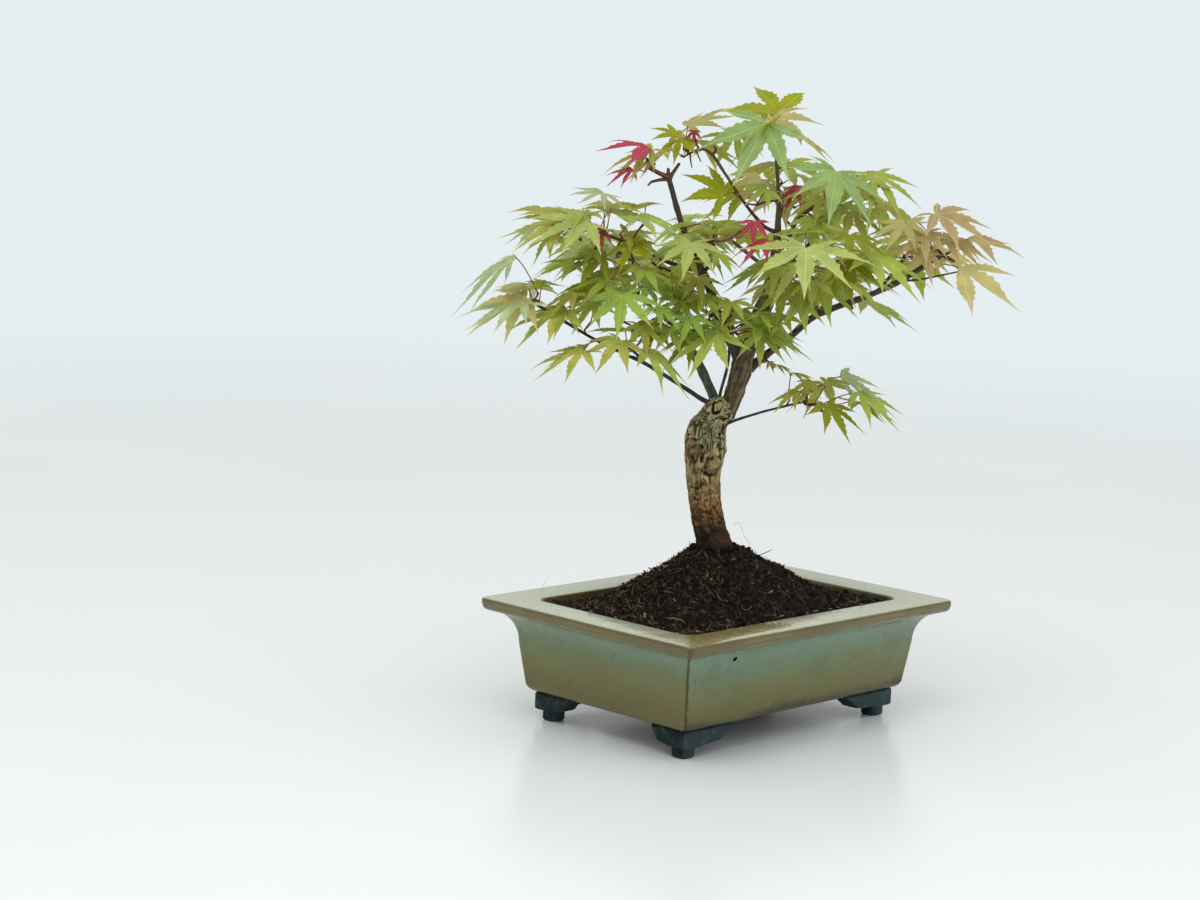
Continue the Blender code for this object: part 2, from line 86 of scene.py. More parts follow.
print("pot middle:", [round(value, 4) for value in POT_MIDDLE])

# %% [markdown]
# The camera stands a little above the rim and looks along the pot's diagonal, with a long lens so
# that the pot's sides hardly converge. A camera can be aimed with a constraint or by angles. Angles
# are used here, because they also hold the slight tilt of the view.

# %% Camera
CAMERA_FROM_POT = Vector((-0.9553, -0.8614, 0.3167))
CAMERA_TURN, CAMERA_DIP, CAMERA_TILT = 45.06, 7.91, 2.12


def place_in_scene(name, data):
    """A new object for some data, linked to the scene."""
    added = bpy.data.objects.new(name, data)
    bpy.context.scene.collection.objects.link(added)
    return added


camera_data = bpy.data.cameras.new("camera")
camera_data.lens = 75.6
camera_data.sensor_width = 36.0
camera_data.sensor_fit = "HORIZONTAL"
camera = place_in_scene("camera", camera_data)
aim = Euler((math.radians(90 - CAMERA_DIP), 0.0, math.radians(-CAMERA_TURN))).to_matrix()
aim = aim @ Matrix.Rotation(math.radians(CAMERA_TILT), 3, "Z")
camera.matrix_world = Matrix.Translation(POT_MIDDLE + CAMERA_FROM_POT) @ aim.to_4x4()
bpy.context.scene.camera = camera
print("camera at", [round(value, 3) for value in camera.matrix_world.translation])

# %% [markdown]
# Materials are trees of nodes. Placing nodes one by one makes long cells, so a small helper turns
# every node into one call that returns its output. A finish then reads like a recipe: where am I on
# the piece, what pattern lies there, and what colour and relief does it give.
#
# `paint` is the step that comes back most: it lays a tone over a colour where its masks, numbers
# from 0 to 1, are all high.

# %% A helper for trees of nodes
class Nodes:
    """A node tree. Each method adds nodes and returns the last one's output socket."""

    def __init__(self, tree):
        self.tree = tree

    def feed(self, socket, value):
        if isinstance(value, bpy.types.NodeSocket):
            self.tree.links.new(value, socket)
        elif socket.type == "RGBA":
            socket.default_value = (*value, 1.0)
        else:
            socket.default_value = value

    def node(self, kind, inputs=(), output=0, **settings):
        added = self.tree.nodes.new("ShaderNode" + kind)
        for name, value in settings.items():
            setattr(added, name, value)
        for key, value in dict(inputs).items():
            self.feed(added.inputs[key], value)
        return added.outputs[output]

    def math(self, operation, *values):
        return self.node("Math", dict(enumerate(values)), operation=operation)

    def plus(self, first, second):
        return self.math("ADD", first, second)

    def minus(self, first, second):
        return self.math("SUBTRACT", first, second)

    def times(self, value, *others):
        for other in others:
            value = self.math("MULTIPLY", value, other)
        return value

    def scaled(self, value, scale, shift):
        return self.math("MULTIPLY_ADD", value, scale, shift)

    def gap(self, first, second):
        """How far apart two values are."""
        return self.math("ABSOLUTE", self.minus(first, second))

    def parts(self, vector):
        split = self.node("SeparateXYZ", {0: vector}).node
        return split.outputs[0], split.outputs[1], split.outputs[2]

    def fade(self, value, start, end):
        """0 where the value is start, 1 where it is end, smooth between them."""
        inputs = {"Value": value, "From Min": start, "From Max": end}
        return self.node("MapRange", inputs, interpolation_type="SMOOTHSTEP")

    def span(self, value, low, high):
        """A value from 0 to 1 spread over a range from low to high."""
        return self.node("MapRange", {"Value": value, "To Min": low, "To Max": high})

    def blend(self, share, first, second):
        inputs = {0: share, 6: first, 7: second}
        return self.node("Mix", inputs, output=2, data_type="RGBA")

    def paint(self, under, tone, *masks):
        """A colour with a tone laid over it where all the masks are high."""
        return self.blend(self.times(*masks), under, tone)

    def steps(self, value, *stops):
        """A colour ramp through stops of (position, colour)."""
        ramp = self.node("ValToRGB", {0: value}).node
        while len(ramp.color_ramp.elements) < len(stops):
            ramp.color_ramp.elements.new(0.5)
        for element, (position, colour) in zip(ramp.color_ramp.elements, stops):
            element.position = position
            element.color = (*colour, 1.0)
        return ramp.outputs[0]


# %% A helper for finishes
class Finish(Nodes):
    """A material, with the patterns that finishes are made of."""

    def __init__(self, name):
        self.material = bpy.data.materials.new(name)
        self.material.use_nodes = True
        super().__init__(self.material.node_tree)
        self.shader = self.tree.nodes["Principled BSDF"]

    def surface(self, **inputs):
        for name, value in inputs.items():
            self.feed(self.shader.inputs[name.replace("_", " ")], value)

    def place(self, stretch=(1, 1, 1), middle=(0, 0, 0)):
        """Object coordinates, moved to a middle and then stretched."""
        here = self.node("TexCoord", output=3)
        moved = self.node("VectorMath", {0: here, 1: tuple(middle)}, operation="SUBTRACT")
        return self.node("VectorMath", {0: moved, 1: tuple(stretch)}, operation="MULTIPLY")

    def distance(self, middle, stretch=(1, 1, 1)):
        """How far a point lies from a middle."""
        inputs = {0: self.place(stretch, middle)}
        return self.node("VectorMath", inputs, output=1, operation="LENGTH")

    def mark(self, name):
        """A number that is stored on the piece's points."""
        return self.node("Attribute", output=2, attribute_name=name)

    def noise(self, place, scale, detail=3.0, roughness=0.55):
        inputs = {"Vector": place, "Scale": scale, "Detail": detail, "Roughness": roughness}
        return self.node("TexNoise", inputs)

    def cells(self, place, scale, output=0):
        return self.node("TexVoronoi", {"Vector": place, "Scale": scale}, output)

    def relief(self, height, depth, over=None):
        """Bump of a height from 0 to 1, depth metres deep, over another bump if one is given."""
        inputs = {"Height": height, "Distance": depth}
        if over is not None:
            inputs["Normal"] = over
        return self.node("Bump", inputs)


def rgb(red, green, blue):
    """A colour as seen on a screen, from 0 to 255, as the linear colour that shaders work with."""
    shares = (value / 255 for value in (red, green, blue))
    return tuple(s / 12.92 if s <= 0.04045 else ((s + 0.055) / 1.055) ** 2.4 for s in shares)


print("a mid grey of 128 is", round(rgb(128, 128, 128)[0], 3), "in linear light")

# %% [markdown]
# A small plant on a table is best shown in soft light from all round, a little stronger from above,
# with one large lamp to model the forms. The background that the camera sees is one pale tone,
# while the light itself comes from a sky that brightens upwards, so the two are separate inputs
# that the Light Path node chooses between.

# %% Studio light
world = bpy.data.worlds.new("studio")
world.use_nodes = True
bpy.context.scene.world = world
world.node_tree.nodes.clear()
sky = Nodes(world.node_tree)
rise = sky.parts(sky.node("TexCoord"))[2]
rise = sky.node("MapRange", {"Value": rise, "From Min": -0.6, "From Max": 1.0})
shade = sky.steps(rise, (0.0, (0.50, 0.54, 0.56)), (1.0, (1.0, 1.0, 0.97)))
lit = sky.node("Background", {"Color": shade, "Strength": 0.95})
seen = sky.node("Background", {"Color": rgb(229, 238, 241)})
chosen = sky.node("MixShader", {0: sky.node("LightPath"), 1: lit, 2: seen})
sky.feed(sky.tree.nodes.new("ShaderNodeOutputWorld").inputs[0], chosen)
LAMP_AIM = POT_MIDDLE + Vector((0.0, 0.0, 0.15))


def add_lamp(name, place, size, power, colour):
    """A square lamp at a place in metres from the pot's foot, turned towards the plant."""
    data = bpy.data.lights.new(name, "AREA")
    data.size = size
    data.energy = power
    data.color = colour
    lamp = place_in_scene(name, data)
    lamp.location = POT_MIDDLE + Vector(place)
    lamp.rotation_euler = (LAMP_AIM - lamp.location).to_track_quat("-Z", "Y").to_euler()


add_lamp("key_lamp", (-0.75, -0.35, 1.45), 1.0, 9.0, (1.0, 0.985, 0.95))
add_lamp("fill_lamp", (0.35, -1.25, 0.85), 1.2, 3.0, (0.93, 0.97, 1.0))
bpy.context.scene.view_settings.view_transform = "Standard"

# %% [markdown]
# The floor is a plain pale surface with a faint gloss, like honed stone. It is a disc that turns
# clear towards its edge, so that it melts into the backdrop from every side and no edge or horizon
# crosses the picture.

# %% Floor
def deselect():
    """Leaves nothing selected. Operators act on all that is selected, also on the loaded frame."""
    if bpy.context.object is not None and bpy.context.object.mode != "OBJECT":
        bpy.ops.object.mode_set(mode="OBJECT")
    bpy.ops.object.select_all(action="DESELECT")


def started(name):
    """The primitive just added, named, with its place moved into its mesh."""
    piece = bpy.context.object
    piece.name = name
    bpy.ops.object.transform_apply(location=True, rotation=True, scale=True)
    return piece


def dress(piece, material):
    piece.data.materials.clear()
    piece.data.materials.append(material)


FLOOR_RADIUS, FADE_FROM, FADE_TO = 2.6, 0.55, 2.392
deselect()
bpy.ops.mesh.primitive_circle_add(vertices=96, radius=FLOOR_RADIUS, fill_type="NGON",
                                  location=POT_MIDDLE)
floor = started("floor")
stone = Finish("pale_floor")
here = stone.place(middle=POT_MIDDLE)
cloud = stone.noise(here, 3.0, 4.0)
from_middle = stone.node("VectorMath", {0: here}, output=1, operation="LENGTH")
stone.surface(
    Base_Color=stone.blend(stone.fade(cloud, 0.35, 0.7), (0.80, 0.84, 0.85), (0.77, 0.82, 0.835)),
    Roughness=0.22,
    Alpha=stone.fade(from_middle, FADE_TO, FADE_FROM),
    Specular_IOR_Level=0.35,
)
dress(floor, stone.material)
print("floor radius:", FLOOR_RADIUS, "m")

# %% [markdown]
# ## The pot
#
# A shallow bonsai pot with a broad flat rim, a hollow neck under it and steep walls on a slightly
# smaller base. It is slab-built stoneware, so its outer corners are crisp while the opening's
# corners are rounded. A box with booleans could make it, but a profile is clearer: one rectangle is
# extruded ring by ring up the outside, another up the inside, and the two are bridged at the rim.
# Both rectangles get their corners rounded first, with the same number of steps, so that the
# bridge pairs them cleanly. The lip has a fine groove half way up, so its profile has a notch
# there.

# %% The pot's sizes, in metres
POT_LENGTH, POT_WIDTH = 0.2028, 0.1488
FOOT_HEIGHT = 0.015
LIP_HEIGHT, LIP_ROUND = 0.0064, 0.0026
GROOVE_UP, GROOVE_HALF, GROOVE_DEPTH = 0.0028, 0.0004, 0.00024
RIM_WIDTH, RIM_EASE, RIM_FALL = 0.0208, 0.0015, 0.0001
NECK_INSET, NECK_HEIGHT, NECK_DEPTH = 0.0030, 0.0160, 0.0079
WALL_TOP_INSET, WALL_FOOT_INSET, BASE_ROUND = 0.0140, 0.0169, 0.005
INNER_FLOOR, INNER_LEAN, FLOOR_BEVEL = 0.022, 0.0008, 0.003
EASED = 0.3            # how far the middle of an eased edge lies from its two ends
OUTER_CORNER, INNER_CORNER, CORNER_STEPS, ARC_STEPS, LIP_STEPS = 0.0030, 0.0075, 6, 12, 5


def quarter_round(middle, reach, first, last, steps=ARC_STEPS):
    """Points of (inset, height) along a quarter ellipse, between two angles in degrees."""
    for step in range(steps + 1):
        angle = math.radians(first + (last - first) * step / steps)
        yield middle[0] + reach[0] * math.cos(angle), middle[1] + reach[1] * math.sin(angle)


under_lip = POT_TOP - LIP_HEIGHT
groove = under_lip + GROOVE_UP
wall_top = under_lip - NECK_HEIGHT
base_middle = (WALL_FOOT_INSET + BASE_ROUND, FOOT_HEIGHT + BASE_ROUND)
lip_reach = (LIP_ROUND - GROOVE_DEPTH, LIP_ROUND)
outside = [
    *reversed(list(quarter_round(base_middle, (BASE_ROUND, BASE_ROUND), 180, 270))),
    *quarter_round((NECK_INSET, wall_top), (WALL_TOP_INSET - NECK_INSET, NECK_DEPTH * 2), 0, 90),
    *quarter_round((LIP_ROUND, under_lip + LIP_ROUND), lip_reach, 270, 180, LIP_STEPS),
    (GROOVE_DEPTH, groove),
    (0.0, groove + GROOVE_HALF),
    *quarter_round((RIM_EASE, POT_TOP - RIM_EASE), (RIM_EASE, RIM_EASE), 180, 90, LIP_STEPS),
]
inner_wall = RIM_WIDTH + INNER_LEAN
inside = [
    (inner_wall + FLOOR_BEVEL, INNER_FLOOR),
    (inner_wall + FLOOR_BEVEL * EASED, INNER_FLOOR + FLOOR_BEVEL * EASED),
    (inner_wall, INNER_FLOOR + FLOOR_BEVEL),
    (RIM_WIDTH, POT_TOP - RIM_EASE),
    (RIM_WIDTH - RIM_EASE * EASED, POT_TOP - RIM_FALL - RIM_EASE * EASED),
    (RIM_WIDTH - RIM_EASE, POT_TOP - RIM_FALL),
]
print("rings outside:", len(outside), "inside:", len(inside))

# %% [markdown]
# In edit mode every operator acts on what is selected. Small helpers say in a word what would take
# two or three lines each time: enter edit mode with a selection, leave it, extrude, resize about a
# point, and turn all faces outwards on the way out. The last one joins several objects into one.

# %% Helpers for edit mode
def edit(kind=None, select=None):
    """Edit mode; kind is VERT, EDGE or FACE, and select is SELECT or DESELECT for everything."""
    bpy.ops.object.mode_set(mode="EDIT")
    if kind:
        bpy.ops.mesh.select_mode(type=kind)
    if select:
        bpy.ops.mesh.select_all(action=select)


def leave_edit():
    bpy.ops.object.mode_set(mode="OBJECT")


def extrude(x, y, z):
    bpy.ops.mesh.extrude_region_move(TRANSFORM_OT_translate={"value": (x, y, z)})


def resize(shares, about):
    bpy.ops.transform.resize(value=shares, center_override=about)


def face_outwards():
    bpy.ops.mesh.select_all(action="SELECT")
    bpy.ops.mesh.normals_make_consistent(inside=False)
    leave_edit()


def joined(name, pieces):
    """One object from several."""
    deselect()
    for piece in pieces:
        piece.select_set(True)
    bpy.context.view_layer.objects.active = pieces[0]
    if len(pieces) > 1:
        bpy.ops.object.join()
    pieces[0].name = name
    return pieces[0]


# %% [markdown]
# The next helper is the whole method: a plane is set at the first ring's size, its corners are
# bevelled as vertices, and each next ring is an extrusion upwards and a resize about the pot's
# middle. A lone face that is extruded leaves its first face behind as the bottom, and the last face
# is deleted, which opens the shell.

# %% Extrude the two shells and bridge them
POT_SMOOTH_ANGLE = 28


def ring_size(inset):
    return POT_LENGTH - 2 * inset, POT_WIDTH - 2 * inset


def extruded_shell(name, profile, corner):
    """An open shell through rings of (inset, height) that all share rounded corners."""
    deselect()
    inset, height = profile[0]
    here = Vector((POT_MIDDLE.x, POT_MIDDLE.y, height))
    bpy.ops.mesh.primitive_plane_add(size=1.0, location=here)
    shell = started(name)
    edit(select="SELECT")
    length, width = ring_size(inset)
    resize((length, width, 1.0), here)
    bpy.ops.mesh.bevel(offset=corner, segments=CORNER_STEPS, affect="VERTICES")
    for next_inset, next_height in profile[1:]:
        extrude(0.0, 0.0, next_height - here.z)
        here.z = next_height
        next_length, next_width = ring_size(next_inset)
        resize((next_length / length, next_width / width, 1.0), here)
        length, width = next_length, next_width
    bpy.ops.mesh.delete(type="ONLY_FACE")
    leave_edit()
    return shell


pot_shell = joined("pot_shell", [extruded_shell("pot_shell", outside, OUTER_CORNER),
                                 extruded_shell("pot_inside", inside, INNER_CORNER)])
edit("EDGE", "DESELECT")
bpy.ops.mesh.select_non_manifold()
bpy.ops.mesh.bridge_edge_loops()
face_outwards()
bpy.ops.object.shade_smooth_by_angle(angle=math.radians(POT_SMOOTH_ANGLE))
loose = sum(edge.is_loose for edge in pot_shell.data.edges)
print("pot faces:", len(pot_shell.data.polygons), "loose edges:", loose)

# %% [markdown]
# The glaze is a celadon over an iron-bearing body. It pools blue-green and thick under the lip,
# thins to olive down the wall and shows brown where it is thinnest: on the sharp corners, along the
# rim's edges and at the foot of the long walls. On the flat rim it lies glassy and is painted pale,
# partly its own tone and partly a painted reflection of the light above, except beside one corner
# where it ran thin. An image could hold all that, but it would need an unwrapped pot and would blur
# up close. All of it depends on where a point is on the pot, so the finish measures heights and
# distances to edges from Object coordinates and roughens each border with noise.

# %% Glaze: where a point is on the pot
glaze = Finish("celadon_glaze")
here = glaze.place(middle=POT_MIDDLE)
x, y, z = glaze.parts(here)
to_end = glaze.minus(POT_LENGTH / 2, glaze.math("ABSOLUTE", x))
to_side = glaze.minus(POT_WIDTH / 2, glaze.math("ABSOLUTE", y))
to_rim_edge = glaze.math("MINIMUM", to_end, to_side)
cloud = glaze.noise(glaze.place((1.0, 1.0, 1.6), POT_MIDDLE), 26.0, 4.0, 0.6)
runs = glaze.noise(glaze.place((1.0, 1.0, 0.12), POT_MIDDLE), 420.0, 3.0, 0.6)
mottle = glaze.noise(here, 520.0, 4.0, 0.65)
grain = glaze.noise(here, 2600.0, 2.0)
end_face = glaze.fade(glaze.minus(to_side, to_end), -0.001, 0.001)
long_face = glaze.minus(1.0, end_face)
print("nodes so far:", len(glaze.tree.nodes))

# %% [markdown]
# The colour of the wall follows its height. Two noises shift that height up and down, one broad and
# one drawn out like runs of glaze, so that the bands wander. The short walls are painted a little
# browner and darker, as painted shade.

# %% Glaze: the walls
drift = glaze.plus(glaze.scaled(cloud, 0.016, -0.008), glaze.scaled(runs, 0.0026, -0.0013))
# the short walls take a lower level, so they are painted browner and darker: painted shade
level = glaze.scaled(end_face, -0.0040, glaze.plus(z, drift))
wall = glaze.steps(
    glaze.fade(level, FOOT_HEIGHT, under_lip + 0.0016),
    (0.00, rgb(97, 86, 46)),
    (0.09, rgb(103, 94, 51)),
    (0.26, rgb(108, 105, 60)),
    (0.50, rgb(110, 117, 78)),
    (0.74, rgb(110, 129, 102)),
    (1.00, rgb(118, 142, 124)),
)
brown_foot = glaze.times(glaze.fade(level, 0.0235, 0.0165), glaze.span(long_face, 0.0, 0.95))
wall = glaze.paint(wall, rgb(44, 33, 20), brown_foot)
wall = glaze.paint(wall, rgb(134, 146, 112), glaze.span(mottle, 0.0, 0.22))
wall = glaze.paint(wall, rgb(88, 84, 50), glaze.fade(cloud, 0.50, 0.72), 0.35)
thick = glaze.times(glaze.fade(runs, 0.45, 0.75), glaze.fade(level, 0.030, 0.054))
wall = glaze.paint(wall, rgb(146, 172, 158), thick, 0.14)
print("nodes so far:", len(glaze.tree.nodes))

# %% [markdown]
# The lip is olive, with painted shade in its groove, and darker along its upper edge.

# %% Glaze: the lip
lip = glaze.blend(glaze.fade(cloud, 0.35, 0.65), rgb(91, 84, 42), rgb(109, 100, 53))
# painted shade along the groove of the lip
groove_shade = glaze.times(glaze.fade(glaze.gap(z, groove), 0.0005, 0.0001),
                        glaze.fade(cloud, 0.35, 0.6))
lip = glaze.paint(lip, rgb(80, 70, 36), groove_shade)
edge_line = glaze.times(glaze.fade(z, POT_TOP - 0.0017, POT_TOP - 0.0012),
                        glaze.fade(z, POT_TOP - 0.0003, POT_TOP - 0.0007))
lip = glaze.paint(lip, rgb(68, 60, 26), edge_line, 0.5)
on_lip = glaze.fade(z, under_lip, under_lip + 0.0004)
colour = glaze.paint(wall, lip, on_lip)
print("nodes so far:", len(glaze.tree.nodes))

# %% [markdown]
# The rim is pale, partly its own glaze and partly a painted reflection of the light above. Beside
# the front corner, on the long side, a ragged patch of thin brown glaze with a pale border runs
# along the opening, and a pale strip widens between it and the outer edge.

# %% Glaze: the rim and its thin patch
FRONT_CORNER = (POT_MIDDLE.x - POT_LENGTH / 2, POT_MIDDLE.y - POT_WIDTH / 2, POT_TOP)
PATCH_EDGE = 0.0342
from_corner = glaze.distance(FRONT_CORNER, (0.42, 1.0, 1.0))
ragged = glaze.plus(from_corner, glaze.scaled(mottle, 0.020, -0.010))
ragged = glaze.plus(ragged, glaze.scaled(cloud, 0.03, -0.015))
strip = glaze.minus(to_side, glaze.times(glaze.fade(to_end, 0.006, 0.045), 0.0050))
strip = glaze.plus(strip, glaze.scaled(mottle, 0.0030, -0.0015))
thin_here = glaze.times(glaze.fade(ragged, PATCH_EDGE, PATCH_EDGE - 0.0006),
                        glaze.fade(strip, -0.0001, 0.0003))
at_border = glaze.times(glaze.fade(ragged, PATCH_EDGE - 0.0008, PATCH_EDGE + 0.0001),
                        glaze.fade(ragged, PATCH_EDGE + 0.0043, PATCH_EDGE + 0.0003))
right_side = glaze.span(glaze.fade(glaze.minus(to_end, to_side), -0.005, 0.003), 0.25, 1.0)
# the rim's own pale glaze together with a painted reflection of the light above
pale_rim_and_reflection = glaze.blend(glaze.fade(mottle, 0.3, 0.7), rgb(162, 170, 146), rgb(182, 184, 156))
thin_rim = glaze.blend(glaze.fade(mottle, 0.3, 0.7), rgb(128, 116, 70), rgb(148, 137, 92))
rim = glaze.paint(pale_rim_and_reflection, rgb(190, 192, 168), at_border, right_side)
rim = glaze.paint(rim, thin_rim, thin_here, right_side)
outer_line = glaze.fade(glaze.plus(to_rim_edge, glaze.times(mottle, 0.0006)), 0.0016, 0.0008)
rim = glaze.paint(rim, rgb(124, 106, 70), outer_line, 0.75)
rim = glaze.paint(rim, rgb(98, 68, 42), outer_line, glaze.fade(from_corner, 0.040, 0.012))
colour = glaze.paint(colour, rim, glaze.fade(z, POT_TOP - 0.0005, POT_TOP - 0.0002))
print("nodes so far:", len(glaze.tree.nodes))

# %% [markdown]
# Wear comes last: the bare brown corners, a chip at the front corner's tip, the dark inside and the
# plain underside, and pinholes, one of them large and painted near black as painted shade in its
# hole. A pinhole is matt, so the gloss leaves it out.

# %% Glaze: wear, pinholes and gloss
ragged_edge = glaze.plus(glaze.gap(to_end, to_side), glaze.scaled(mottle, 0.0024, -0.0012))
worn_corner = glaze.times(glaze.fade(ragged_edge, 0.0016, 0.0002), glaze.fade(z, 0.0618, 0.0600))
colour = glaze.paint(colour, rgb(60, 48, 28), worn_corner, 0.8)
from_tip = glaze.distance(FRONT_CORNER, (1.0, 1.0, 0.7))
chipped = glaze.fade(glaze.scaled(mottle, 0.007, from_tip), 0.0070, 0.0058)
colour = glaze.paint(colour, rgb(70, 56, 26), chipped, 0.6)
within = glaze.fade(to_rim_edge, RIM_WIDTH - 0.0006, RIM_WIDTH - 0.0001)
inner = glaze.blend(glaze.fade(cloud, 0.3, 0.7), rgb(66, 60, 32), rgb(92, 84, 48))
colour = glaze.paint(colour, inner, within, glaze.fade(z, POT_TOP - 0.0001, POT_TOP - 0.0007))
under = glaze.fade(z, FOOT_HEIGHT + 0.0006, FOOT_HEIGHT + 0.0001)
colour = glaze.paint(colour, rgb(88, 72, 56), under)

HOLE_SCALE, HOLE_SHARE = 330.0, 0.90
cell_number = glaze.parts(glaze.cells(here, HOLE_SCALE, output=1))[0]
some_cells = glaze.math("GREATER_THAN", cell_number, HOLE_SHARE)
pinhole = glaze.times(glaze.fade(glaze.cells(here, HOLE_SCALE), 0.16, 0.08), some_cells)
colour = glaze.paint(colour, rgb(52, 44, 28), pinhole, 0.75)
from_hole = glaze.distance(tree_places((4.3, -83.9, 46.7)))
big_hole = glaze.fade(glaze.scaled(mottle, 0.0006, from_hole), 0.0019, 0.0014)
# the large pinhole is painted near black: painted shade inside the hole
colour = glaze.paint(colour, rgb(10, 9, 6), big_hole)
glossy = glaze.minus(1.0, big_hole)
bump = glaze.relief(glaze.noise(here, 70.0, 2.0), 0.0009)
bump = glaze.relief(mottle, 0.00012, bump)
bump = glaze.relief(glaze.minus(1.0, glaze.math("MAXIMUM", pinhole, big_hole)), 0.00035, bump)
glaze.surface(
    Base_Color=colour,
    Roughness=glaze.plus(glaze.span(grain, 0.16, 0.30), glaze.times(under, 0.45)),
    Normal=bump,
    Specular_IOR_Level=glaze.times(glaze.span(on_lip, 0.24, 0.5), glossy),
    Coat_Weight=glaze.times(glaze.span(on_lip, 0.05, 0.22), glossy),
    Coat_Roughness=0.08,
)
dress(pot_shell, glaze.material)
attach(pot_shell, "root")
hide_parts("pot")
print("glaze nodes:", len(glaze.tree.nodes))

# %% [markdown]
# ## The feet
#
# Each foot is an L of two arms that follows the pot's corner, flares towards the pot and steps in
# to a small rounded pad on the table. One foot is extruded from an L-shaped face, and the others
# are copies mirrored to their own corners. The arms' upright edges get a small bevel, because
# pressed clay has no sharp edge.

# %% One foot: the L of two arms
FOOT_INSET, FOOT_ARM_WIDTH, FOOT_STEP = 0.0212, 0.0118, 0.0054
FOOT_ARMS, FOOT_FLARES = (0.0300, 0.0212), (0.0080, 0.0027)
FOOT_TUCK, FOOT_RISE, FOOT_STEPS, FOOT_BEVEL = 0.0022, 0.0016, 4, 0.0015
FOOT_SHARP_ANGLE, FOOT_SMOOTH_ANGLE = 50, 35
PAD_INSET, PAD_SIDE, PAD_CORNER, PAD_EASE, PAD_OVERLAP = 0.0024, 0.0100, 0.0034, 0.0009, 0.001
GAP = 0.0003           # between pieces that only touch, so that their faces never coincide
NEAR = 1e-5


def foot_arms():
    """The two arms of a foot whose corner is at the origin and whose arms run along +X and +Y."""
    deselect()
    bpy.ops.mesh.primitive_plane_add(size=1.0, location=(0, 0, 0))
    foot = bpy.context.object
    edit()
    resize((FOOT_ARM_WIDTH, FOOT_ARM_WIDTH, 1.0), (0, 0, 0))
    bpy.ops.transform.translate(value=(FOOT_ARM_WIDTH / 2, FOOT_ARM_WIDTH / 2, FOOT_STEP))
    leave_edit()
    # each arm grows out of one edge of the corner square
    for axis, reach in enumerate(FOOT_ARMS):
        edit("EDGE", "DESELECT")
        leave_edit()
        for edge in foot.data.edges:
            ends = [foot.data.vertices[i].co for i in edge.vertices]
            edge.select = all(abs(end[axis] - FOOT_ARM_WIDTH) < NEAR
                              and end[1 - axis] < FOOT_ARM_WIDTH + NEAR for end in ends)
        edit()
        outwards = [0.0, 0.0, 0.0]
        outwards[axis] = reach - FOOT_ARM_WIDTH
        extrude(*outwards)
        leave_edit()
    # the L rises to the pot in steps, and the arm ends spread with it
    edit("FACE", "SELECT")
    tall = FOOT_HEIGHT - GAP - FOOT_STEP
    for _ in range(FOOT_STEPS):
        extrude(0.0, 0.0, tall / FOOT_STEPS)
    leave_edit()
    for vertex in foot.data.vertices:
        share = (vertex.co.z - FOOT_STEP) / tall
        for axis in range(2):
            if vertex.co[axis] > FOOT_ARM_WIDTH + NEAR:
                vertex.co[axis] += FOOT_FLARES[axis] * share ** 1.6 - FOOT_TUCK * (1 - share) ** 2
                vertex.co.z += FOOT_RISE * (1 - share) ** 3
    edit("EDGE")
    face_outwards()
    edit(select="DESELECT")
    bpy.ops.mesh.edges_select_sharp(sharpness=math.radians(FOOT_SHARP_ANGLE))
    bpy.ops.mesh.bevel(offset=FOOT_BEVEL, segments=4)
    leave_edit()
    return foot


# %% One foot: its pad, a rounded square extruded up into the arms and eased at its sole
def foot_pad():
    deselect()
    middle = PAD_INSET + PAD_SIDE / 2
    bpy.ops.mesh.primitive_plane_add(size=PAD_SIDE, location=(middle, middle, PAD_EASE))
    pad = started("pad")
    edit(select="SELECT")
    bpy.ops.mesh.bevel(offset=PAD_CORNER, segments=5, affect="VERTICES")
    extrude(0.0, 0.0, FOOT_STEP + PAD_OVERLAP - PAD_EASE)
    bpy.ops.mesh.select_all(action="DESELECT")
    leave_edit()
    for face in pad.data.polygons:
        face.select = face.center.z < PAD_EASE + NEAR
    edit("FACE")
    sole = 1 - 2 * PAD_EASE / PAD_SIDE
    extrude(0.0, 0.0, -PAD_EASE)
    resize((sole, sole, 1.0), (middle, middle, 0.0))
    face_outwards()
    return pad


# %% [markdown]
# The clay of the feet is nearly black with a blue-green cast, mottled like pressed earthenware. The
# faces along the pot's long sides are painted paler, as painted light.

# %% The clay, and a foot at each corner
clay = Finish("dark_clay")
here = clay.place()
wash = clay.noise(here, 190.0, 4.0, 0.6)
tooth = clay.noise(here, 1500.0, 3.0, 0.6)
colour = clay.steps(wash, (0.30, rgb(16, 25, 26)), (0.52, rgb(30, 45, 47)), (0.74, rgb(60, 80, 84)))
colour = clay.paint(colour, rgb(26, 42, 44), clay.span(tooth, 0.0, 0.22))
